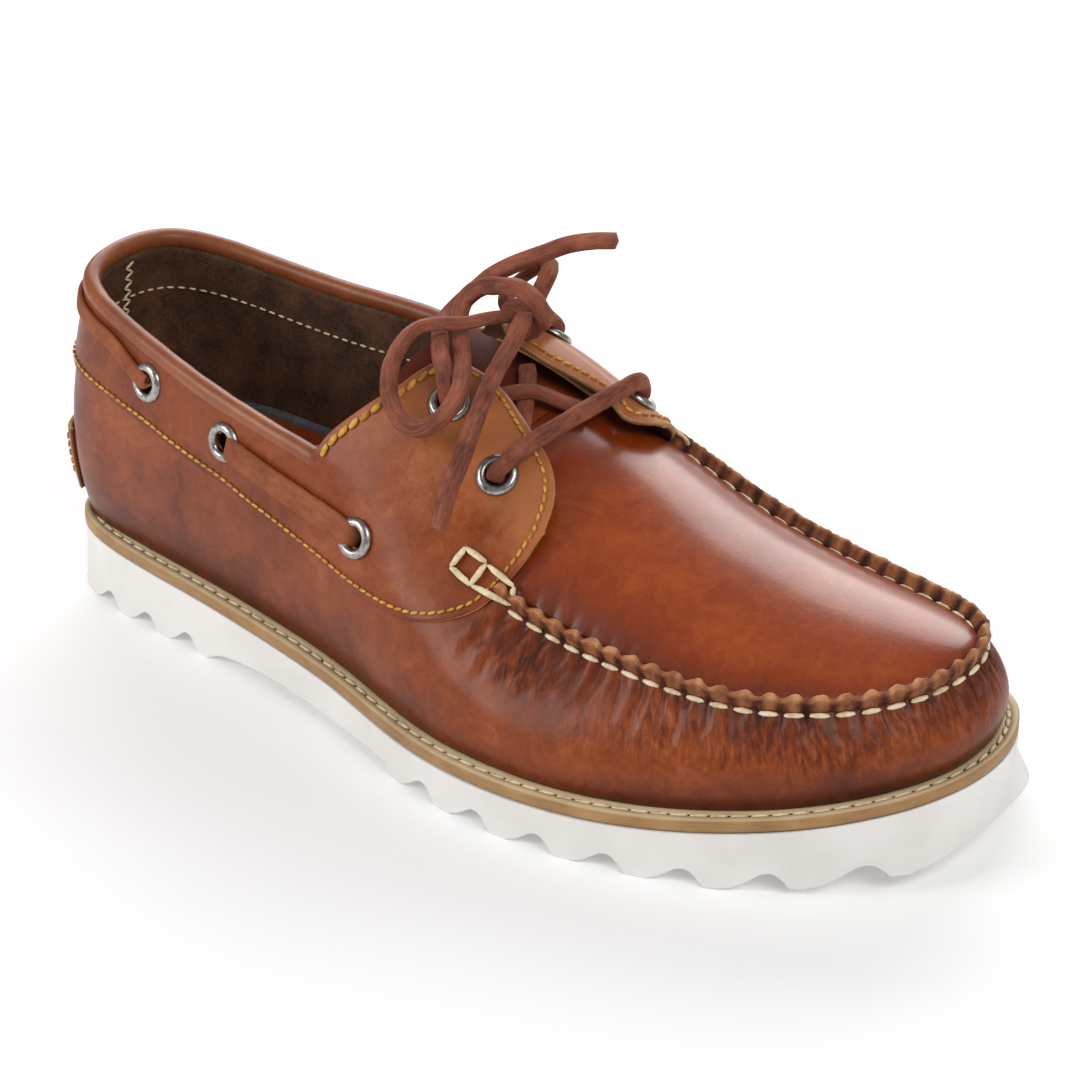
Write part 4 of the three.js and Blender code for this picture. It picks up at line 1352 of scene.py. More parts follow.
    def insole_stitches(self) -> None:
        """Pale stitches along the sock's edge."""
        path = [
            self.sock(abs(t), 1.76 if t < 0 else 0.24) + Vector((0, 0, 0.15))
            for t in [*spread(-8, -0.6, 160), *spread(0.6, 8, 160)]
        ]
        spots = self.seams.spots_on(path, [Vector((0, 0, 1))] * len(path), 3.4)
        self.seams.row("insole_stitches", spots, Stitch(3.4, 2.3, 0.7, 0.6), Finish.CREAM_THREAD, "sock_leather")

    def build(self) -> None:
        """Build the whole sole."""
        self.outsole()
        self.welt()
        self.welt_stitches()
        self.insole()
        self.insole_foam()
        self.insole_stitches()


# ---- upper
@dataclass(frozen=True)
class Crease:
    """Soft trough in the side wall: where it starts and ends, how far it drifts forward, its width and its depth."""

    t: float
    top: float
    bottom: float
    drift: float
    width: float
    depth: float


# Troughs that run down from the apron's seam, and the wrinkles behind its start, in the order of Crease's fields.
CREASES = tuple(Crease(*row) for row in (
    (6.75, 0.93, 0.55, -0.28, 1.3, 0.45), (6.95, 0.95, 0.5, -0.3, 1.2, 0.55), (7.14, 0.95, 0.56, -0.26, 1.1, 0.5),
    (7.33, 0.96, 0.52, -0.26, 1.2, 0.5), (7.55, 0.96, 0.6, -0.22, 1.1, 0.4), (7.8, 0.96, 0.58, -0.2, 1.3, 0.4),
    (8.25, 0.97, 0.5, -0.14, 1.4, 0.45), (8.62, 0.97, 0.42, -0.12, 1.3, 0.6), (8.85, 0.97, 0.5, -0.12, 1.1, 0.5),
    (9.2, 0.97, 0.4, -0.1, 1.5, 0.55), (9.55, 0.97, 0.52, -0.08, 1.1, 0.5), (9.8, 0.97, 0.36, -0.06, 1.4, 0.65),
    (10.15, 0.97, 0.48, -0.02, 1.2, 0.5), (10.5, 0.97, 0.4, 0.04, 1.3, 0.6), (10.78, 0.97, 0.5, 0.1, 1.1, 0.55),
    (11.1, 0.97, 0.38, 0.14, 1.4, 0.6), (11.4, 0.97, 0.52, 0.12, 1.1, 0.45), (11.75, 0.97, 0.45, 0.1, 1.3, 0.5),
    (12.2, 0.97, 0.5, 0.04, 1.2, 0.45), (12.65, 0.97, 0.42, -0.04, 1.3, 0.5), (13.1, 0.97, 0.48, -0.08, 1.3, 0.5),
    (13.6, 0.97, 0.4, -0.08, 1.4, 0.55), (14.1, 0.97, 0.5, 0.06, 1.2, 0.5), (14.7, 0.97, 0.44, 0.1, 1.4, 0.5),
    (15.3, 0.97, 0.52, 0.14, 1.3, 0.45), (16, 0.96, 0.55, 0.18, 1.3, 0.4), (16.6, 0.96, 0.55, 0.24, 1.2, 0.5),
    (16.9, 0.95, 0.58, 0.28, 1.1, 0.5), (17.15, 0.94, 0.6, 0.28, 1.2, 0.45),
))


# Corners of the thread boxes at the seam's start, as station and q.
BOX_STITCHES = (
    ((6.18, 0.96), (6.24, 1.08), (6.44, 1.08), (6.39, 0.94), (6.18, 0.96)),
    ((6.46, 1.08), (6.73, 1.065), (6.76, 0.99), (6.39, 0.94)),
)


@dataclass
class Upper(Assembly):
    """Side wall, quarter panel with its tabs, apron, seam, tongue, collar and heel patch; sizes in millimetres."""

    roll_height: float = 5.6
    roll_width: float = 5.0
    pucker_pitch: float = 6.0
    station_mm: float = 30.0  # mean length of a station round the shoe
    panel_end: float = 6.76
    panel_proud: float = 0.8
    punch_radius: float = 4.1
    ridge_rise: float = 0.9
    ridge_half_height: float = 2.8
    ridge_half_width: float = 1.25
    panel_low: OpenCurve = field(default_factory=lambda: OpenCurve((
        (0, 0.60), (0.6, 0.60), (2.4, 0.595), (2.75, 0.58), (3.1, 0.565), (3.45, 0.555), (3.7, 0.535), (4.2, 0.505),
        (4.7, 0.48), (5.0, 0.47), (5.25, 0.475), (5.5, 0.495), (5.8, 0.535), (6.05, 0.60), (6.3, 0.71),
        (6.5, 0.85), (6.62, 1.02), (6.72, 1.2), (6.76, 1.36),
    )))
    panel_high: OpenCurve = field(default_factory=lambda: OpenCurve((
        (4.62, 1.0), (4.7, 1.1), (4.86, 1.25), (5.0, 1.39), (5.1, 1.5), (5.16, 1.62), (5.25, 1.76), (5.4, 1.86),
        (5.6, 1.9), (5.85, 1.88), (6.1, 1.81), (6.35, 1.74), (6.5, 1.69), (6.62, 1.62), (6.72, 1.5), (6.76, 1.36),
    )))

    def __post_init__(self) -> None:
        """Find the seam's puckers and the eyelets' seats."""
        self.tops: dict[float, float] = {}
        stations = spread(THROAT, TURN - THROAT, 400)
        counts = [distance / self.pucker_pitch for distance in walked([self.form.wall(t, 1) for t in stations])]
        self.puckers = OpenCurve(list(zip(stations, counts)))
        self.pucker_count = math.floor(counts[-1])
        self.seats = self.eyelet_seats()

    def from_heel(self, t: float) -> float:
        """Stations between t and the back of the heel."""
        turned = t % TURN
        return min(turned, TURN - turned)

    def top_of_wall(self, t: float) -> float:
        """The q where the wall ends: under the roll along the collar, at the seam in front of it.

        Args:
            t: station round the shoe.

        Returns:
            The q.
        """
        key = round(t, 6)
        if key not in self.tops:
            share = 1 - smooth(COLLAR_END, COLLAR_END + 0.2, self.from_heel(t))
            self.tops[key] = self.form.below_top(t, share * (self.roll_height - 1.0)) if share > 0 else 0.995
        return self.tops[key]

    def phase(self, t: float) -> float:
        """Number of puckers from the start of the seam to station t."""
        return self.puckers(min(TURN - THROAT, max(THROAT, t)))

    def relief(self, t: float, q: float) -> float:
        """Puckers, creases and soft unevenness of the side wall, in millimetres outwards.

        Args:
            t: station round the shoe.
            q: share of the way up the side wall.

        Returns:
            The distance out of the last.
        """
        form = self.form
        height = form.section(t)[3].z - form.section(t)[0].z
        below = (1 - q) * height * 1.15
        depth = 0.12 * noise.noise(form.wall(t, q) / 11) + 0.2 * noise.noise(form.wall(t, q) / 32)
        if THROAT - 0.1 < t < TURN - THROAT + 0.1:
            ends = smooth(THROAT - 0.1, THROAT + 0.3, t) * smooth(TURN - THROAT + 0.1, TURN - THROAT - 0.3, t)
            phase = self.phase(t)
            wander = 0.25 * rough(phase * 0.9, below * 0.12, 7.0)
            pinch = drawn_in(phase + wander, 2)
            reach = 5.5 + 5.0 * (0.5 + 0.5 * rough(math.floor(phase + 0.5) * 1.7, 0.3, 1.1))
            depth -= 0.6 * ends * pinch * hump(below, reach)
            depth += 0.35 * ends * (1 - pinch) * hump(below, 6)
        for crease in CREASES:
            if abs(t - crease.t) > 0.7 or not crease.bottom - 0.1 < q < crease.top + 0.05:
                continue
            share = (crease.top - q) / (crease.top - crease.bottom)
            bend = 0.05 * rough(q * 9, crease.t * 3, 0)
            aside = (t - crease.t - crease.drift * share - bend) * self.station_mm
            fade = smooth(-0.08, 0.1, share) * smooth(1.12, 0.55, share)
            depth -= crease.depth * fade * hump(aside, crease.width)
            depth += 0.4 * crease.depth * fade * hump(abs(aside) - 2.1 * crease.width, crease.width)
        return depth

    def wall_face(self, t: float, q: float) -> Vector:
        """Outer face of the side wall with its relief."""
        return self.form.off(self.form.wall, t, q, self.relief(t, q))

    def panel_face(self, station: float, q: float) -> Vector:
        """Outer face of the quarter panel and its tabs, proud of the last.

        Args:
            station: station, negative on the medial side.
            q: as on the last.

        Returns:
            The point, in millimetres.
        """
        form = self.form
        station %= TURN
        t = self.from_heel(station)
        tab = form.lateral if station < TOE else form.medial
        u = max(0.0, q - 1)
        back, front = tab.span(u, rounded=False)
        lift = self.panel_proud - tab.proud + tab.height((t - back) / (front - back), u)
        ripple = 0.14 * noise.noise(form.last(station, q) / 12) + 0.22 * noise.noise(form.last(station, q) / 30)
        step = 0.05 if 0.9 < q < 1.15 else 0.02
        return form.last(station, q) + form.normal(form.last, station, q, step) * (lift + ripple * smooth(0, 0.2, q))

    def panel_span(self, station: float) -> tuple[float, float]:
        """Lower and upper q of the panel at a station.

        Args:
            station: station, negative on the medial side.

        Returns:
            Both q.
        """
        t = self.from_heel(station)
        low = self.panel_low(t)
        if t < self.panel_high.xs[0]:
            top = self.form.below_top(station, self.roll_height - 2.4)
            share = smooth(4.5, self.panel_high.xs[0], t)
            return low, top + (1.0 - top) * share
        high = self.panel_high(t)
        reach = 0.8 if station % TURN > TOE else 1.0
        if high > 1:
            high = 1 + (high - 1) * (reach + (1 - reach) * smooth(6.3, 6.7, t))
        return low, max(low, high)

    def burnish(self, t: float, q: float) -> float:
        """How dark the side wall is: darker at the toe under the seam, near the seam's start, along the welt, at the
        heel and low at the waist, with painted shade in each pucker of the seam.

        Args:
            t: station round the shoe.
            q: share of the way up the side wall.

        Returns:
            From 0, light, to 1, dark.
        """
        toe = smooth(7.4, 9.4, t) * smooth(17.2, 15.2, t)
        band = hump(q - 0.86, 0.36)
        vamp = hump(t - 7.2, 0.9) + hump(t - 16.8, 0.9)
        dark = 0.24 * toe * band + 0.3 * vamp * hump(q - 0.8, 0.25)
        foot = 0.3 * hump(q, 0.14) + 0.2 * toe * smooth(0.5, 0.15, q)
        heel = 0.22 * hump(self.from_heel(t), 1.2)
        pinch = 0.0
        # Painted shade: darker in each pucker where a stitch draws the seam in.
        if THROAT < t < TURN - THROAT:
            pinch = 0.22 * drawn_in(self.phase(t), 2) * smooth(0.7, 0.98, q)
        waist = 0.16 * hump(self.from_heel(t) - 3.0, 1.7) * smooth(0.65, 0.25, q)
        return min(1.0, 0.34 + waist + dark + foot + heel + pinch)

    def wrinkle(self, t: float, q: float) -> float:
        """How finely wrinkled the side wall is: down the toe from the seam, and behind the seam's start.

        Args:
            t: station round the shoe.
            q: share of the way up the side wall.

        Returns:
            0 where it is smooth.
        """
        toe = smooth(7.3, 8.3, t) * smooth(16.7, 15.7, t) * smooth(0.2, 0.6, q)
        vamp = hump(t - 6.95, 0.42) + hump(t - 17.05, 0.42)
        patchy = 0.65 + 0.7 * rough(t * 2.3, q * 2.5, 9.0)
        return max(0.0, (0.8 * toe + vamp * smooth(0.45, 0.65, q)) * patchy)

    def eyelet_seats(self) -> dict[str, tuple[Vector, Vector]]:
        """Centre and direction of each eyelet, by its node's name.

        Returns:
            The seats.
        """
        form = self.form
        seats = {}
        tab_spots = {
            "lateral": {"lower": (0.7, 1.455), "upper": (0.38, 1.6)},
            "medial": {"lower": (0.78, 1.36), "upper": (0.36, 1.36)},
        }
        for side, tab in (("lateral", form.lateral), ("medial", form.medial)):
            for name, (t, q) in SIDE_SEATS.items():
                station = t if tab.side > 0 else TURN - t
                seats[f"eyelet_{side}_{name}"] = (form.wall(station, q), form.normal(form.wall, station, q))
            for name, (x, q) in tab_spots[side].items():
                surface = partial(form.tab_point, tab)
                seats[f"eyelet_{side}_{name}"] = (surface(x, q), form.normal(surface, x, q) * tab.side)
        return seats

    def holes(self, words: Sequence[str]) -> list[tuple[Vector, Vector, float]]:
        """Centre, direction and radius of the holes for the eyelets whose names end with one of the words."""
        return [
            (centre, normal, self.punch_radius)
            for name, (centre, normal) in self.seats.items()
            if name.split("_")[-1] in words
        ]

    def wall(self) -> None:
        """Side wall, lined, with its puckers and creases."""
        piece = self.maker.sheet(
            "side_wall", spread(0, TURN, 640), 60,
            lambda t, b: self.wall_face(t, b * self.top_of_wall(t)),
            marks={"burnish": self.burnish, "wrinkle": self.wrinkle},
            uv=lambda t, b: (t * self.station_mm, b * 60),
            holes=self.holes(("front", "middle", "rear")),
        )
        solidify(piece, self.form.wall_thickness, inner=1, rim=2)
        self.wardrobe.dress(piece, "upper_leather", ("upper",), Finish.LEATHER, Finish.LINING, Finish.CUT_EDGE)

    def panel(self) -> None:
        """Quarter panel: from tab to tab round the heel, laid over the wall."""
        end = self.panel_end
        tab = [end - (end - 4.4) * (1 + math.cos(math.pi * i / 110)) / 2 for i in range(111)]
        half = spread(0, 4.4, 90)[:-1] + tab
        columns = [-t for t in reversed(half[1:])] + half

        def at(t: float, b: float) -> Vector:
            """Point of the panel between its lower and upper edge."""
            low, high = self.panel_span(t)
            return self.panel_face(t, low + (high - low) * b)

        def dark(t: float, b: float) -> float:
            """Tone of the panel: lightest on the tabs, painted light on their upward-facing tops; darker at the heel,
            in a band on each side and along its lower edge.

            Args:
                t: station, negative on the medial side.
                b: share of the way up the panel.

            Returns:
                From 0, light, to 1, dark.
            """
            low, high = self.panel_span(t)
            q = low + (high - low) * b
            tab = smooth(1.0, 1.5, q)
            side_band = 0.14 * hump(abs(t) - 2.5, 1.6)
            # Painted light: the upward-facing tabs are lighter than the quarter below them.
            return -0.1 + 0.42 * (1 - tab) + side_band + 0.16 * hump(t, 1.0) + 0.1 * smooth(0.1, 0, b)

        piece = self.maker.sheet(
            "quarter_panel", columns, 64, at, marks={"burnish": dark},
            uv=lambda t, b: (t * self.station_mm, b * 60),
            holes=self.holes(("front", "middle", "rear", "lower", "upper")),
        )
        solidify(piece, 1.6, inner=1, rim=2)
        self.wardrobe.dress(piece, "upper_leather", ("upper",), Finish.LEATHER, Finish.LINING, Finish.CUT_EDGE)

    def plug_face(self, t: float, u: float) -> Vector:
        """Outer face of the apron and the tongue.

        Args:
            t: station round the shoe.
            u: place across the top.

        Returns:
            The point, in millimetres.
        """
        form = self.form
        edge = min(u, 2 - u) * 33
        depth = 0.3 * noise.noise(form.top(t, u) / 34)
        if t > THROAT:
            station = t if u < 1 else TURN - t
            pinch = drawn_in(self.phase(station), 2)
            depth -= 0.4 * pinch * hump(edge, 3.5)
        return form.off(form.top, t, u, depth)

    def apron(self) -> None:
        """Apron: the plug of the seam, from the tongue to the toe."""
        columns = spread(6.1, 11, 190) + spread(11, 11.93, 60)[1:]

        def dark(t: float, b: float) -> float:
            """Tone of the apron: darker along the seam and at the toe, with painted shade at its back end under the
            tabs and laces.
            """
            edge = min(b, 1 - b) * 2
            seam = 0.26 * hump(edge, 0.22) + 0.3 * smooth(10.4, 11.9, t)
            # Painted shade: the last term darkens the back end, under the tabs and laces.
            return 0.30 + seam + 0.18 * smooth(7.0, 6.2, t)

        piece = self.maker.sheet(
            "apron", columns, 84, lambda t, b: self.plug_face(t, 0.03 + 1.94 * b), marks={"burnish": dark},
            uv=lambda t, b: (t * self.station_mm, b * 66),
        )
        solidify(piece, self.form.wall_thickness, inner=1, rim=0)
        self.wardrobe.dress(piece, "upper_leather", ("upper",), Finish.PLUG, Finish.LINING)

    def tongue(self) -> None:
        """Tongue: runs on from the apron under the tabs."""
        top_end = 4.95

        def at(t: float, b: float) -> Vector:
            """Point of the tongue, which narrows to its round top."""
            half = 0.34 + 0.3 * math.sqrt(math.sin(math.pi / 2 * min(1.0, max(0.0, (t - top_end) / 0.9))))
            return self.plug_face(t, 1 + half * (2 * b - 1))

        columns = [top_end + 1.16 * (i / 60) ** 1.5 for i in range(61)]
        # Painted shade: the tongue darkens towards its top end, under the tabs and the bow.
        piece = self.maker.sheet(
            "soft_tongue", columns, 48, at, marks={"burnish": lambda t, b: 0.5 * smooth(6.0, 5.6, t)},
            uv=lambda t, b: (t * self.station_mm, b * 40),
        )
        solidify(piece, self.form.wall_thickness, inner=1, rim=2)
        self.wardrobe.dress(piece, "upper_leather", ("tongue",), Finish.SOCK, Finish.LINING, Finish.CUT_EDGE)

    def lining(self) -> None:
        """Suede lining inside the wall, which closes the backs of the side eyelets."""
        piece = self.maker.sheet(
            "suede_lining", spread(0, TURN, 300), 30,
            lambda t, b: self.form.off(self.form.wall, t, b * self.top_of_wall(t), -self.form.wall_thickness - 0.5),
        )
        solidify(piece, 0.5)
        self.wardrobe.dress(piece, "upper_leather", (), Finish.LINING)

    def ridge_axes(self, t: float) -> tuple[Vector, Vector, Vector]:
        """Centre, across (towards the toe's outside) and up of the seam's ridge at station t.

        Args:
            t: station round the shoe.

        Returns:
            The centre and the two directions.
        """
        form = self.form
        up = (form.normal(form.wall, t, 0.98) + Vector((0, 0, 1))).normalized()
        along = (form.wall(t + 0.02, 1) - form.wall(t - 0.02, 1)).normalized()
        across = up.cross(along).normalized() * -1
        return form.wall(t, 1) + up * self.ridge_rise, across, up

    def ridge(self) -> None:
        """Gathered ridge of leather along the apron's seam, pinched at each stitch."""
        stations = spread(THROAT + 0.02, TURN - THROAT - 0.02, 620)
        axes = [self.ridge_axes(t) for t in stations]
        path = [centre for centre, _, _ in axes]
        station_at = OpenCurve(list(zip(walked(path), stations)))

        def section(distance: float, turn: float) -> tuple[float, float]:
            """Outline of the ridge, drawn in and leaning over at each stitch.

            Args:
                distance: how far along.
                turn: angle in turns.

            Returns:
                Offsets across and up.
            """
            t = station_at(distance)
            phase = self.phase(t)
            pinch = drawn_in(phase, 3)
            fold = rough(math.floor(phase) * 2.3, 1.0, 4.0)
            ripple = round_noise(distance * 0.9, turn, 2.0)
            width = self.ridge_half_width * (1.1 - 0.3 * pinch + 0.16 * ripple)
            height = self.ridge_half_height * (1.04 - 0.1 * pinch + 0.1 * fold)
            a, b = oval(width, height, 3.6, turn)
            crest = smooth(0.2, 1.0, b / self.ridge_half_height)
            a = a * (1 - 0.22 * crest) + crest * (0.6 * math.sin(2 * math.pi * phase + 1.2) + 0.35 * fold)
            return a, b + 0.35 * crest * ripple

        def tone(index: float, turn: float) -> float:
            """Tone of the ridge: painted shade in the folds where each stitch pinches it, and lighter along its top.

            Args:
                index: number of the station.
                turn: angle in turns.

            Returns:
                From 0, light, to 1, dark.
            """
            phase = self.phase(stations[int(index)])
            pinch = drawn_in(phase, 2)
            crest = smooth(0.55, 0.95, math.sin(2 * math.pi * turn))
            # Painted shade: darker where each stitch pinches the ridge into folds.
            return 0.48 + 0.42 * pinch - 0.34 * crest + 0.35 * rough(phase * 3, turn * 2, 5.0)

        piece = self.maker.bar(
            "seam_ridge", path, section, lambda i: (axes[i][1], axes[i][2]), rows=16, round_ends=2.5,
            marks={"burnish": tone},
        )
        self.wardrobe.dress(piece, "upper_leather", ("upper",), Finish.SEAM)

    def seam_stitches(self) -> None:
        """Thick cream stitches at both feet of the ridge."""
        stitch = Stitch(self.pucker_pitch, 5.3, 1.4, 1.3, 0.05)
        back = OpenCurve([(self.phase(t), t) for t in spread(THROAT, TURN - THROAT, 400)])
        for name, side in (("seam_stitches_outer", 1), ("seam_stitches_inner", -1)):
            spots = []
            for i in range(1, self.pucker_count - 1):
                t = back(i + 0.5)
                centre, across, up = self.ridge_axes(t)
                ahead = self.ridge_axes(t + 0.03)[0]
                foot = centre + across * side * (self.ridge_half_width + 0.2) - up * (1.75 if side > 0 else 1.5)
                spots.append((foot, (ahead - centre).normalized(), across * side + up * 0.45))
            self.seams.row(name, spots, stitch, Finish.CREAM_THREAD)

    def start_stitches(self) -> None:
        """Two boxes of thick cream thread that lock the seam's start on each side."""
        surface = self.panel_face
        for side, word in ((1, "lateral"), (-1, "medial")):
            spots = []
            for box in BOX_STITCHES:
                for (t0, q0), (t1, q1) in zip(box, box[1:]):
                    ends = [surface(t0 * side, q0), surface(t1 * side, q1)]
                    normal = self.form.normal(surface, (t0 + t1) / 2 * side, (q0 + q1) / 2)
                    middle = (ends[0] + ends[1]) / 2 + normal * 0.25
                    run = ends[1] - ends[0]
                    spots.append((middle, run.normalized(), normal, run.length + 0.9))
            self.seams.row(f"start_stitches_{word}", spots, Stitch(6, 6, 1.7, 1.4, 0.0), Finish.CREAM_THREAD)

    def collar(self) -> None:
        """Rolled collar round the topline."""
        form = self.form
        axes = []
        path = []
        for t in spread(-COLLAR_END - 0.06, COLLAR_END + 0.06, 420):
            top = form.wall(t, 1)
            normal = form.normal(form.wall, t, 0.95)
            up = (top - form.wall(t, 0.95)).normalized()
            path.append(top - up * (self.roll_height / 2) - normal * (form.wall_thickness / 2))
            axes.append((normal, up))

        def section(distance: float, turn: float) -> tuple[float, float]:
            """Outline of the roll."""
            uneven = 1 + 0.05 * round_noise(distance * 0.12, turn, 0.5)
            return oval(self.roll_width / 2 * uneven, self.roll_height / 2 * uneven, 2.2, turn)

        piece = self.maker.bar("rolled_collar", path, section, lambda i: axes[i], rows=18, round_ends=3)
        self.wardrobe.dress(piece, "collar_leather", ("collar_roll",), Finish.COLLAR)

    def heel_patch(self) -> None:
        """Small patch over the back seam, standing proud."""
        form = self.form

        def at(t: float, b: float) -> Vector:
            """Point of the patch, thinned at its ends."""
            edge = min(1 - abs(t), 0.12) / 0.12
            return form.off(form.wall, t, 0.06 + 0.23 * b, 1.0 + 1.1 * math.sqrt(max(0.0, edge)))

        piece = self.maker.sheet(
            "back_patch", [math.sin(math.pi / 2 * x) for x in spread(-1, 1, 60)], 24, at,
            marks={"burnish": lambda t, b: 0.35}, uv=lambda t, b: (t * 24, b * 14),
        )
        solidify(piece, 1.3, rim=1)
        self.wardrobe.dress(piece, "upper_leather", ("heel_patch",), Finish.LEATHER, Finish.CUT_EDGE)
        rows = (
            [(-0.86, q) for q in spread(0.09, 0.26, 5)],
            [(0.86, q) for q in spread(0.26, 0.09, 5)],
            [(t, 0.27) for t in spread(-0.8, 0.8, 12)],
        )
        stitch = Stitch(2.6, 2.3, 0.9, 0.8)
        spots = [spot for knots in rows for spot in self.seams.along(form.wall, knots, stitch.pitch, 2.1)]
        self.seams.row("patch_stitches", spots, stitch, Finish.GOLD_THREAD)

    def panel_edge(self, inset: float, upper: bool, side: int) -> tuple[Path, list[Vector]]:
        """Line inside the panel's edge.

        Args:
            inset: distance in from the edge, in millimetres.
            upper: follow the tab's back and top edge, and not the lower and front edge.
            side: 1 for lateral, -1 for medial.

        Returns:
            The line's points and the panel's normals there.
        """
        if upper:
            ts = [4.62 + (self.panel_end - 4.62) * (1 - math.cos(math.pi * i / 60)) / 2 for i in range(60)]
        else:
            ts = spread(0, 6, 90)[:-1] + [6 + (self.panel_end - 6) * math.sin(math.pi / 2 * i / 30) for i in range(31)]
        spots = [(t * side, self.panel_span(t * side)[1 if upper else 0]) for t in ts]
        edge = [self.panel_face(t, q) for t, q in spots]
        normals = [self.form.normal(self.panel_face, t, min(q, 1.97)) for t, q in spots]
        inward = -side if upper else side
        line = [
            p + normal.cross(heading(edge, i)).normalized() * (inward * inset)
            for i, (p, normal) in enumerate(zip(edge, normals))
        ]
        return line, normals

    def panel_stitches(self) -> None:
        """Golden stitches inside the panel's edges."""
        fine = Stitch(2.6, 2.45, 0.85, 0.8, 0.1)
        strong = Stitch(3.6, 3.9, 1.5, 1.2, 0.1)
        for side, word in ((1, "lateral"), (-1, "medial")):
            low, low_normals = self.panel_edge(2.2, False, side)
            top, top_normals = self.panel_edge(2.4, True, side)
            corner = round(len(top) * 0.42)
            for name, path, normals, stitch, slant in (
                ("panel", low, low_normals, fine, 0.14),
                ("tab_back", top[:corner], top_normals[:corner], strong, 0.25),
                ("tab_top", top[corner:], top_normals[corner:], fine, 0.14),
            ):
                spots = self.seams.spots_on(path, normals, stitch.pitch)
                self.seams.row(f"{name}_stitches_{word}", spots, stitch, Finish.GOLD_THREAD, slant=slant)

    def lining_stitches(self) -> None:
        """Cream row under the collar inside, and the zigzag over the back seam."""
        form = self.form
        inside = -form.wall_thickness - 1.05
        stitch = Stitch(3.2, 2.4, 0.7, 0.6, 0.05)
        knots = [(t, form.below_top(t, 18)) for t in spread(-4.5, 4.5, 90)]
        spots = [(c, a, -n) for c, a, n in self.seams.along(form.wall, knots, stitch.pitch, inside)]
        self.seams.row("lining_stitches", spots, stitch, Finish.CREAM_THREAD)
        corners = [(0.07 if i % 2 else -0.07, form.below_top(0, 6.5 + i * 1.6)) for i in range(13)]
        spots = []
        for (t0, q0), (t1, q1) in zip(corners, corners[1:]):
            a = form.off(form.wall, t0, q0, inside)
            b = form.off(form.wall, t1, q1, inside)
            spots.append(((a + b) / 2, (b - a).normalized(), -form.normal(form.wall, 0, (q0 + q1) / 2)))
        self.seams.row("back_zigzag", spots, Stitch(3.4, 3.6, 0.8, 0.7, 0.05), Finish.CREAM_THREAD)

    def build(self) -> None:
        """Build the whole upper."""
        self.wall()
        self.panel()
        self.apron()
        self.tongue()
        self.lining()
        self.ridge()
        self.seam_stitches()
        self.start_stitches()
        self.collar()
        self.heel_patch()
        self.panel_stitches()
        self.lining_stitches()


# ---- eyelets
@dataclass
class Eyelets(Assembly):
    """Rolled metal eyelets; sizes in millimetres."""

    seats: dict[str, tuple[Vector, Vector]]
    side_lift: float = 0.8
    profile: tuple[tuple[float, float], ...] = (
        (3.6, -2.2), (2.9, -2.0), (2.8, -0.6), (2.85, 0.5), (3.1, 1.15), (3.6, 1.5), (4.3, 1.55), (5.0, 1.25),
        (5.45, 0.7), (5.6, 0.15), (5.5, -0.1), (4.6, 0.05), (3.7, 0.0), (3.65, -1.2), (3.6, -2.2),
    )

    def build(self) -> None:
        """Spin each eyelet on its seat."""
        for name, (centre, normal) in self.seats.items():
            lift = 0.0 if name.endswith("er") else self.side_lift
            mesh = bmesh.new()
            verts = [mesh.verts.new((r * MM, 0, z * MM)) for r, z in self.profile[:-1]]
            edges = [mesh.edges.new((a, b)) for a, b in zip(verts, [*verts[1:], verts[0]])]
            bmesh.ops.spin(
                mesh, geom=[*verts, *edges], cent=(0, 0, 0), axis=(0, 0, 1), angle=2 * math.pi, steps=40, use_merge=True
            )
            bmesh.ops.remove_doubles(mesh, verts=mesh.verts[:], dist=1e-6)
            bmesh.ops.recalc_face_normals(mesh, faces=mesh.faces[:])
            turn = normal.to_track_quat("Z", "Y").to_matrix().to_4x4()
            place = Matrix.Translation(self.maker.form.place(centre + normal * lift))
            bmesh.ops.transform(mesh, matrix=place @ turn, verts=mesh.verts[:])
            self.wardrobe.dress(self.maker.finish(mesh, f"rolled_{name}"), "eyelet_metal", (name,), Finish.NICKEL)


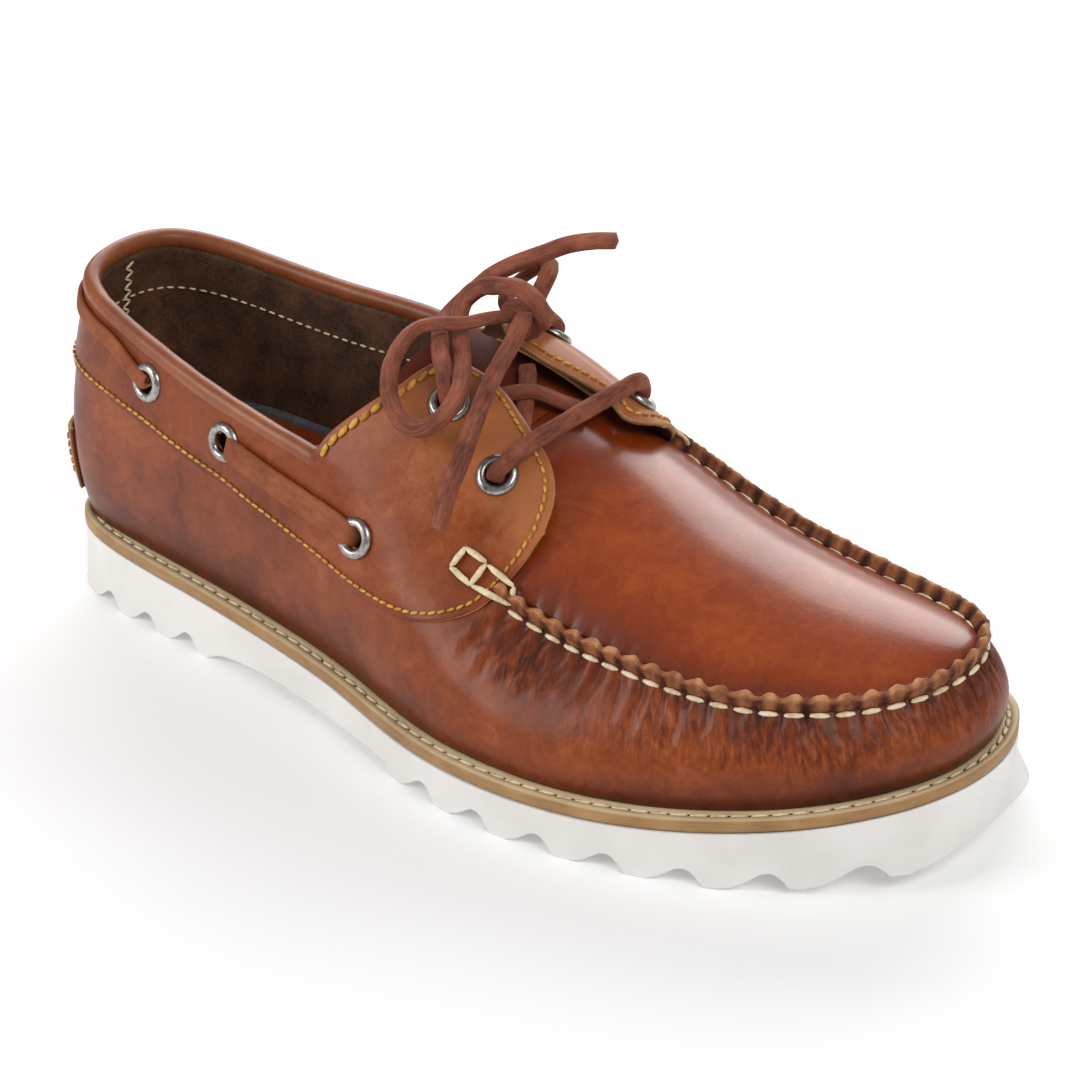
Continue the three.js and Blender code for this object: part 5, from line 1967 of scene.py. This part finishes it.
# ---- lacing
@dataclass
class Lacing(Assembly):
    """Rawhide lace: side strips, bar, cross, bow and ends; sizes in millimetres, routes as (s, w, z)."""

    seats: dict[str, tuple[Vector, Vector]]
    lace_width: float = 4.6
    lace_depth: float = 3.4
    strip_width: float = 7.0
    strip_depth: float = 1.6
    heel_width: float = 4.4
    knot: tuple[float, float, float] = (141, -11, 104)
    loop_lateral: tuple = (
        (141.5, -9.5, 105), (137, -3.5, 106), (131, 3, 105), (126, 7, 105), (122, 11, 104), (121.5, 17.5, 101),
        (123.5, 24, 96.5), (127.5, 28.5, 91.5), (133, 31, 88.5), (139.5, 31.5, 88.5), (144.5, 29, 92),
        (144.5, 22, 96.5), (138, 12.5, 98.5), (130, 3, 99.5), (124, -4, 102), (122, -9, 105), (126, -10, 109),
        (134, -9, 112), (142, -7.5, 113.5), (148, -6.5, 111.5), (149.5, -7, 107.5), (145, -10, 104),
    )
    end_upper: tuple = (
        (137.7, 17.8, 90.4), (138.5, 19.5, 95), (134.5, 16, 98.8), (130.5, 12, 100), (126.5, 7, 100.5),
        (122, 1, 100.2), (118.8, -5, 100.4), (118.3, -10.5, 102), (121.5, -14, 106), (125, -17, 110),
        (131, -20, 114), (137, -23, 117), (143, -26, 120), (149, -29, 121.5), (155, -32, 122),
    )
    end_lower: tuple = (
        (142.5, -9.5, 105.5), (145.5, -3, 107), (147, 3, 104), (148, 9, 101), (149, 15, 97.5), (151, 22, 93.5),
        (152.5, 28, 89), (153.5, 33.5, 83.5), (153.5, 37.5, 78.5), (153, 40, 73), (152.5, 41.5, 68),
    )
    loop_medial: tuple = (
        (141, -12, 105), (140.5, -17, 109), (140, -20, 111), (138.5, -24, 112.5), (135.5, -27.5, 112),
        (131.5, -28.5, 110), (128.5, -26, 107.5), (127.5, -21.5, 105.5), (129.5, -17, 104), (136, -12.5, 103.5),
    )
    bar: tuple = ((162.5, 16, 85), (165, 6, 87.3), (166.5, -5, 88.5), (168, -14, 89.5), (169, -21, 90))
    cross: tuple = (
        ((6.16, 0.74, 2.2), (6.03, 0.9, 2.3), (5.92, 1.04, 2.4), (5.8, 1.18, 2.4), (5.68, 1.3, 2.3)),
        ((6.34, 1.3, 2.3), (6.15, 1.18, 2.3), (5.95, 1.04, 2.4), (5.8, 0.9, 2.3), (5.68, 0.78, 2.2)),
    )
    strip_route: tuple = ((3.8, 0.765), (4.2, 0.745), (4.6, 0.735), (4.96, 0.735))
    heel_reach: float = 2.0
    heel_q: float = 0.87

    def shoe_points(self, route: Sequence[tuple[float, float, float]]) -> list[Vector]:
        """Route in the model's axes, in millimetres."""
        return [self.form.point(*spot) for spot in route]

    def lace(
        self, name: str, path: Path, nodes: Sequence[str], turns: float = 0.35, sides: Optional[Callable] = None
    ) -> bpy.types.Object:
        """Round-cornered rawhide along a path.

        Args:
            name: the piece's name.
            path: its centreline.
            nodes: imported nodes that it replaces.
            turns: how far it twists, in radians.
            sides: directions of its section, or none to follow the path.

        Returns:
            The piece.
        """
        seed = random.Random(name).uniform(0, 50)

        def section(distance: float, turn: float) -> tuple[float, float]:
            """Outline of the lace, with its fuzz.

            Args:
                distance: how far along.
                turn: angle in turns.

            Returns:
                Offsets across and up.
            """
            uneven = 1 + 0.07 * rough(distance * 0.22, seed, 0)
            fuzz = 0.1 * round_noise(distance * 0.6, turn, seed)
            a, b = oval(self.lace_width / 2 * uneven, self.lace_depth / 2 / uneven, 3.6, turn)
            return a + fuzz, b + fuzz

        turned = sides or level_sides(path, lambda share: turns * math.sin(share * 5 + seed))
        piece = self.maker.bar(name, path, section, turned, rows=16, round_ends=1.0)
        return self.wardrobe.dress(piece, "lace_rawhide", nodes, Finish.LACE)

    def strip(self, name: str, path: Path, normals: Sequence[Vector], width: float, nodes: Sequence[str]) -> None:
        """Flat leather strip that lies on the side.

        Args:
            name: the piece's name.
            path: its centreline.
            normals: normals of the leather under it.
            width: its width.
            nodes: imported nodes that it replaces.
        """
        sides = [(normal.cross(heading(path, i)).normalized(), normal) for i, normal in enumerate(normals)]
        seed = random.Random(name).uniform(0, 50)

        def section(distance: float, turn: float) -> tuple[float, float]:
            """Outline of the strip, with its fuzz."""
            fuzz = 0.12 * round_noise(distance * 0.35, turn, seed)
            a, b = oval(width / 2, self.strip_depth / 2, 4.5, turn)
            return a + fuzz, b + fuzz * 0.5

        piece = self.maker.bar(name, path, section, lambda i: sides[i], rows=16, round_ends=0)
        self.wardrobe.dress(piece, "strip_leather", nodes, Finish.STRIP)

    def into(self, seat: str, depth: float) -> Vector:
        """Point down an eyelet's bore, or over it where depth is negative."""
        centre, normal = self.seats[seat]
        return centre - normal * depth

    def side_strips(self) -> None:
        """Strips between the side eyelets and round the heel."""
        form = self.form
        for side, word in ((1, "lateral"), (-1, "medial")):
            spots = [form.off(form.wall, t if side > 0 else TURN - t, q, 1.9) for t, q in self.strip_route]
            middle, front = f"eyelet_{word}_middle", f"eyelet_{word}_front"
            path = through(
                [self.into(middle, 1.6), self.into(middle, -1.6) * 0.75 + spots[0] * 0.25, *spots,
                 self.into(front, -1.6) * 0.75 + spots[-1] * 0.25, self.into(front, 1.6)],
                1.2,
            )
            stations = spread(SIDE_SEATS["middle"][0], SIDE_SEATS["front"][0], len(path) - 1)
            normals = [form.normal(form.wall, t if side > 0 else TURN - t, 0.76) for t in stations]
            self.strip(f"side_strip_{word}", path, normals, self.strip_width, (f"side_lace_{word}",))
        stations = spread(-self.heel_reach, self.heel_reach, 120)
        spots = [form.off(form.wall, t, self.heel_q, 1.6) for t in stations]
        rear = (self.into("eyelet_medial_rear", -1.4), self.into("eyelet_lateral_rear", -1.4))
        ends = (self.into("eyelet_medial_rear", 1.6), self.into("eyelet_lateral_rear", 1.6))
        path = through([ends[0], rear[0], *spots[2:-2:6], rear[1], ends[1]], 1.2)
        end = SIDE_SEATS["rear"][0]
        normals = [form.normal(form.wall, t, self.heel_q) for t in spread(-end, end, len(path) - 1)]
        self.strip("heel_strip", path, normals, self.heel_width, ("heel_lace",))

    def crossings(self) -> None:
        """Bar over the instep and the cross behind it."""
        route = self.shoe_points(self.bar)
        start, end = "eyelet_lateral_lower", "eyelet_medial_lower"
        path = through(
            [self.into(start, 3.5), self.into(start, -2.0), *route, self.into(end, -2.0), self.into(end, 3.5)], 0.9
        )
        self.lace("rawhide_bar", path, ("lace_bar",), turns=0.15)
        # The upper strand rises over the lower one where they cross.
        strands = (("rawhide_cross_lower", 0.0, ("lace_cross",)), ("rawhide_cross_upper", 2.6, ()))
        for run, (name, lift, nodes) in zip(self.cross, strands):
            lifted = [(t, u, height + lift * hump(u - 1.04, 0.14)) for t, u, height in run]
            route = [self.form.off(self.form.top, *spot) for spot in lifted]
            self.lace(name, through(route, 0.9), nodes, turns=0.1)

    def bow(self) -> None:
        """Knot, two loops and two ends."""
        form = self.form
        centre = form.point(*self.knot)
        axis = form.point(0.2, -1, 0).normalized()
        side = axis.cross(Vector((0, 0, 1))).normalized()
        up = side.cross(axis).normalized()
        turns = [(2 * math.pi * 1.45 * i / 48, 3.6 - 7.2 * i / 48) for i in range(49)]
        coil = [centre + side * (4.3 * math.cos(a)) + up * (3.8 * math.sin(a)) + axis * ahead for a, ahead in turns]
        knot = self.lace("rawhide_knot", coil, ("lace_knot",), turns=0.1)
        strand = through(
            [self.into("eyelet_medial_upper", 3.5), self.into("eyelet_medial_upper", -2.0),
             form.point(139, -22, 100.5), form.point(140.5, -15, 102.5), form.point(141, -11, 103)],
            0.9,
        )
        self.lace("rawhide_strand_medial", strand, (), turns=0.2)
        runs = {
            "lace_loop_lateral": (self.loop_lateral, "knot", [knot]),
            "lace_loop_medial": (self.loop_medial, "object", []),
            "lace_end_upper": (self.end_upper, "bare", []),
            "lace_end_lower": (self.end_lower, "bare", []),
        }
        for name, (route, far_end, extras) in runs.items():
            points = self.shoe_points(route)
            path = through(points, 0.8)
            if name == "lace_end_upper":
                path = through([self.into("eyelet_lateral_upper", 3.0), *points], 0.8)
            piece = self.lace(name.replace("lace", "rawhide"), path, (name,))
            tuple(form.place(path[0]))
            round(walked(path)[-1] * MM, 4)
            [tuple(form.place(p)) for p in path]
            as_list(extras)

    def build(self) -> None:
        """Build the whole lace."""
        self.side_strips()
        self.crossings()
        self.bow()


# ---- studio
@dataclass
class Studio:
    """Floor, light and camera; the camera stands in the shoe's millimetres, the lights in metres round its middle."""

    form: ShoeForm
    camera_spot: tuple[float, float, float] = (575.4, 554.1, 416.4)
    azimuth: float = -52.68
    elevation: float = 27.89
    roll: float = -0.43
    lens: float = 100.07
    world_light: float = 0.3
    floor_glow: float = 0.14
    middle: tuple[float, float, float] = (0.0, 0.0, 0.05)
    lamps: tuple = (
        ("key_over_toe", (-0.25, -0.95, 1.0), (0.9, 0.6), 7.5),
        ("back_light", (1.05, 0.6, 0.78), (1.5, 1.0), 17.0),
        ("left_fill", (-0.9, 0.7, 0.6), (0.5, 0.7), 7.0),
    )

    def camera(self) -> None:
        """Camera at its place over the shoe's lateral toe."""
        az, el, roll = (math.radians(angle) for angle in (self.azimuth, self.elevation, self.roll))
        ahead = Vector((-math.sin(az) * math.cos(el), math.cos(az) * math.cos(el), -math.sin(el)))
        right = ahead.cross(Vector((0, 0, 1))).normalized()
        up = right.cross(ahead)
        across = right * math.cos(roll) + up * math.sin(roll)
        above = up * math.cos(roll) - right * math.sin(roll)
        data = bpy.data.cameras.new("camera")
        data.lens = self.lens
        data.clip_start = 0.05
        camera = bpy.data.objects.new("camera", data)
        turn = Matrix((across, above, -ahead)).transposed().to_4x4()
        camera.matrix_world = Matrix.Translation(self.form.at(*self.camera_spot)) @ turn
        bpy.context.scene.collection.objects.link(camera)
        bpy.context.scene.camera = camera

    def lamp(self, name: str, spot: tuple, size: tuple[float, float], power: float) -> None:
        """Area light at a spot, turned to the shoe.

        Args:
            name: the light's name.
            spot: its place in metres.
            size: its width and height in metres.
            power: its power in watts.
        """
        data = bpy.data.lights.new(name, "AREA")
        data.shape = "RECTANGLE"
        data.size, data.size_y = size
        data.energy = power
        lamp = bpy.data.objects.new(name, data)
        facing = Vector(self.middle) - Vector(spot)
        lamp.matrix_world = Matrix.Translation(Vector(spot)) @ facing.to_track_quat("-Z", "Y").to_matrix().to_4x4()
        bpy.context.scene.collection.objects.link(lamp)

    def floor(self) -> None:
        """Plain white floor, wide enough to fill the view."""
        mesh = bmesh.new()
        bmesh.ops.create_grid(mesh, x_segments=8, y_segments=8, size=6)
        data = bpy.data.meshes.new("floor")
        mesh.to_mesh(data)
        mesh.free()
        floor = bpy.data.objects.new("floor", data)
        bpy.context.scene.collection.objects.link(floor)
        material, tree = new_material("white_paper_sweep")
        shade(tree, {
            "Base Color": linear("#F4F4F4"),
            "Roughness": 0.9,
            "Specular IOR Level": 0.1,
            "Emission Color": linear("#FFFFFF"),
            "Emission Strength": self.floor_glow,
        })
        data.materials.append(material)

    def build(self) -> None:
        """Set up the whole studio."""
        self.camera()
        self.floor()
        world = bpy.data.worlds.new("white_room")
        world.use_nodes = True
        back = world.node_tree.nodes["Background"]
        back.inputs["Color"].default_value = (1, 1, 1, 1)
        back.inputs["Strength"].default_value = self.world_light
        bpy.context.scene.world = world
        for lamp in self.lamps:
            self.lamp(*lamp)
        bpy.context.scene.view_settings.view_transform = "Standard"


# ---- main
def main() -> None:
    """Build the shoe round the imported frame."""
    logging.basicConfig(level=logging.INFO, format="%(message)s")
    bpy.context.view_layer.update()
    form = ShoeForm()
    maker = Maker(form)
    wardrobe = Wardrobe()
    seams = Seams(maker, wardrobe)
    upper = Upper(maker, wardrobe, seams)
    Studio(form).build()
    Lacing(maker, wardrobe, seams, upper.seats).build()
    Sole(maker, wardrobe, seams).build()
    upper.build()
    Eyelets(maker, wardrobe, seams, upper.seats).build()
    bpy.context.view_layer.update()


if __name__ == "__main__":
    main()
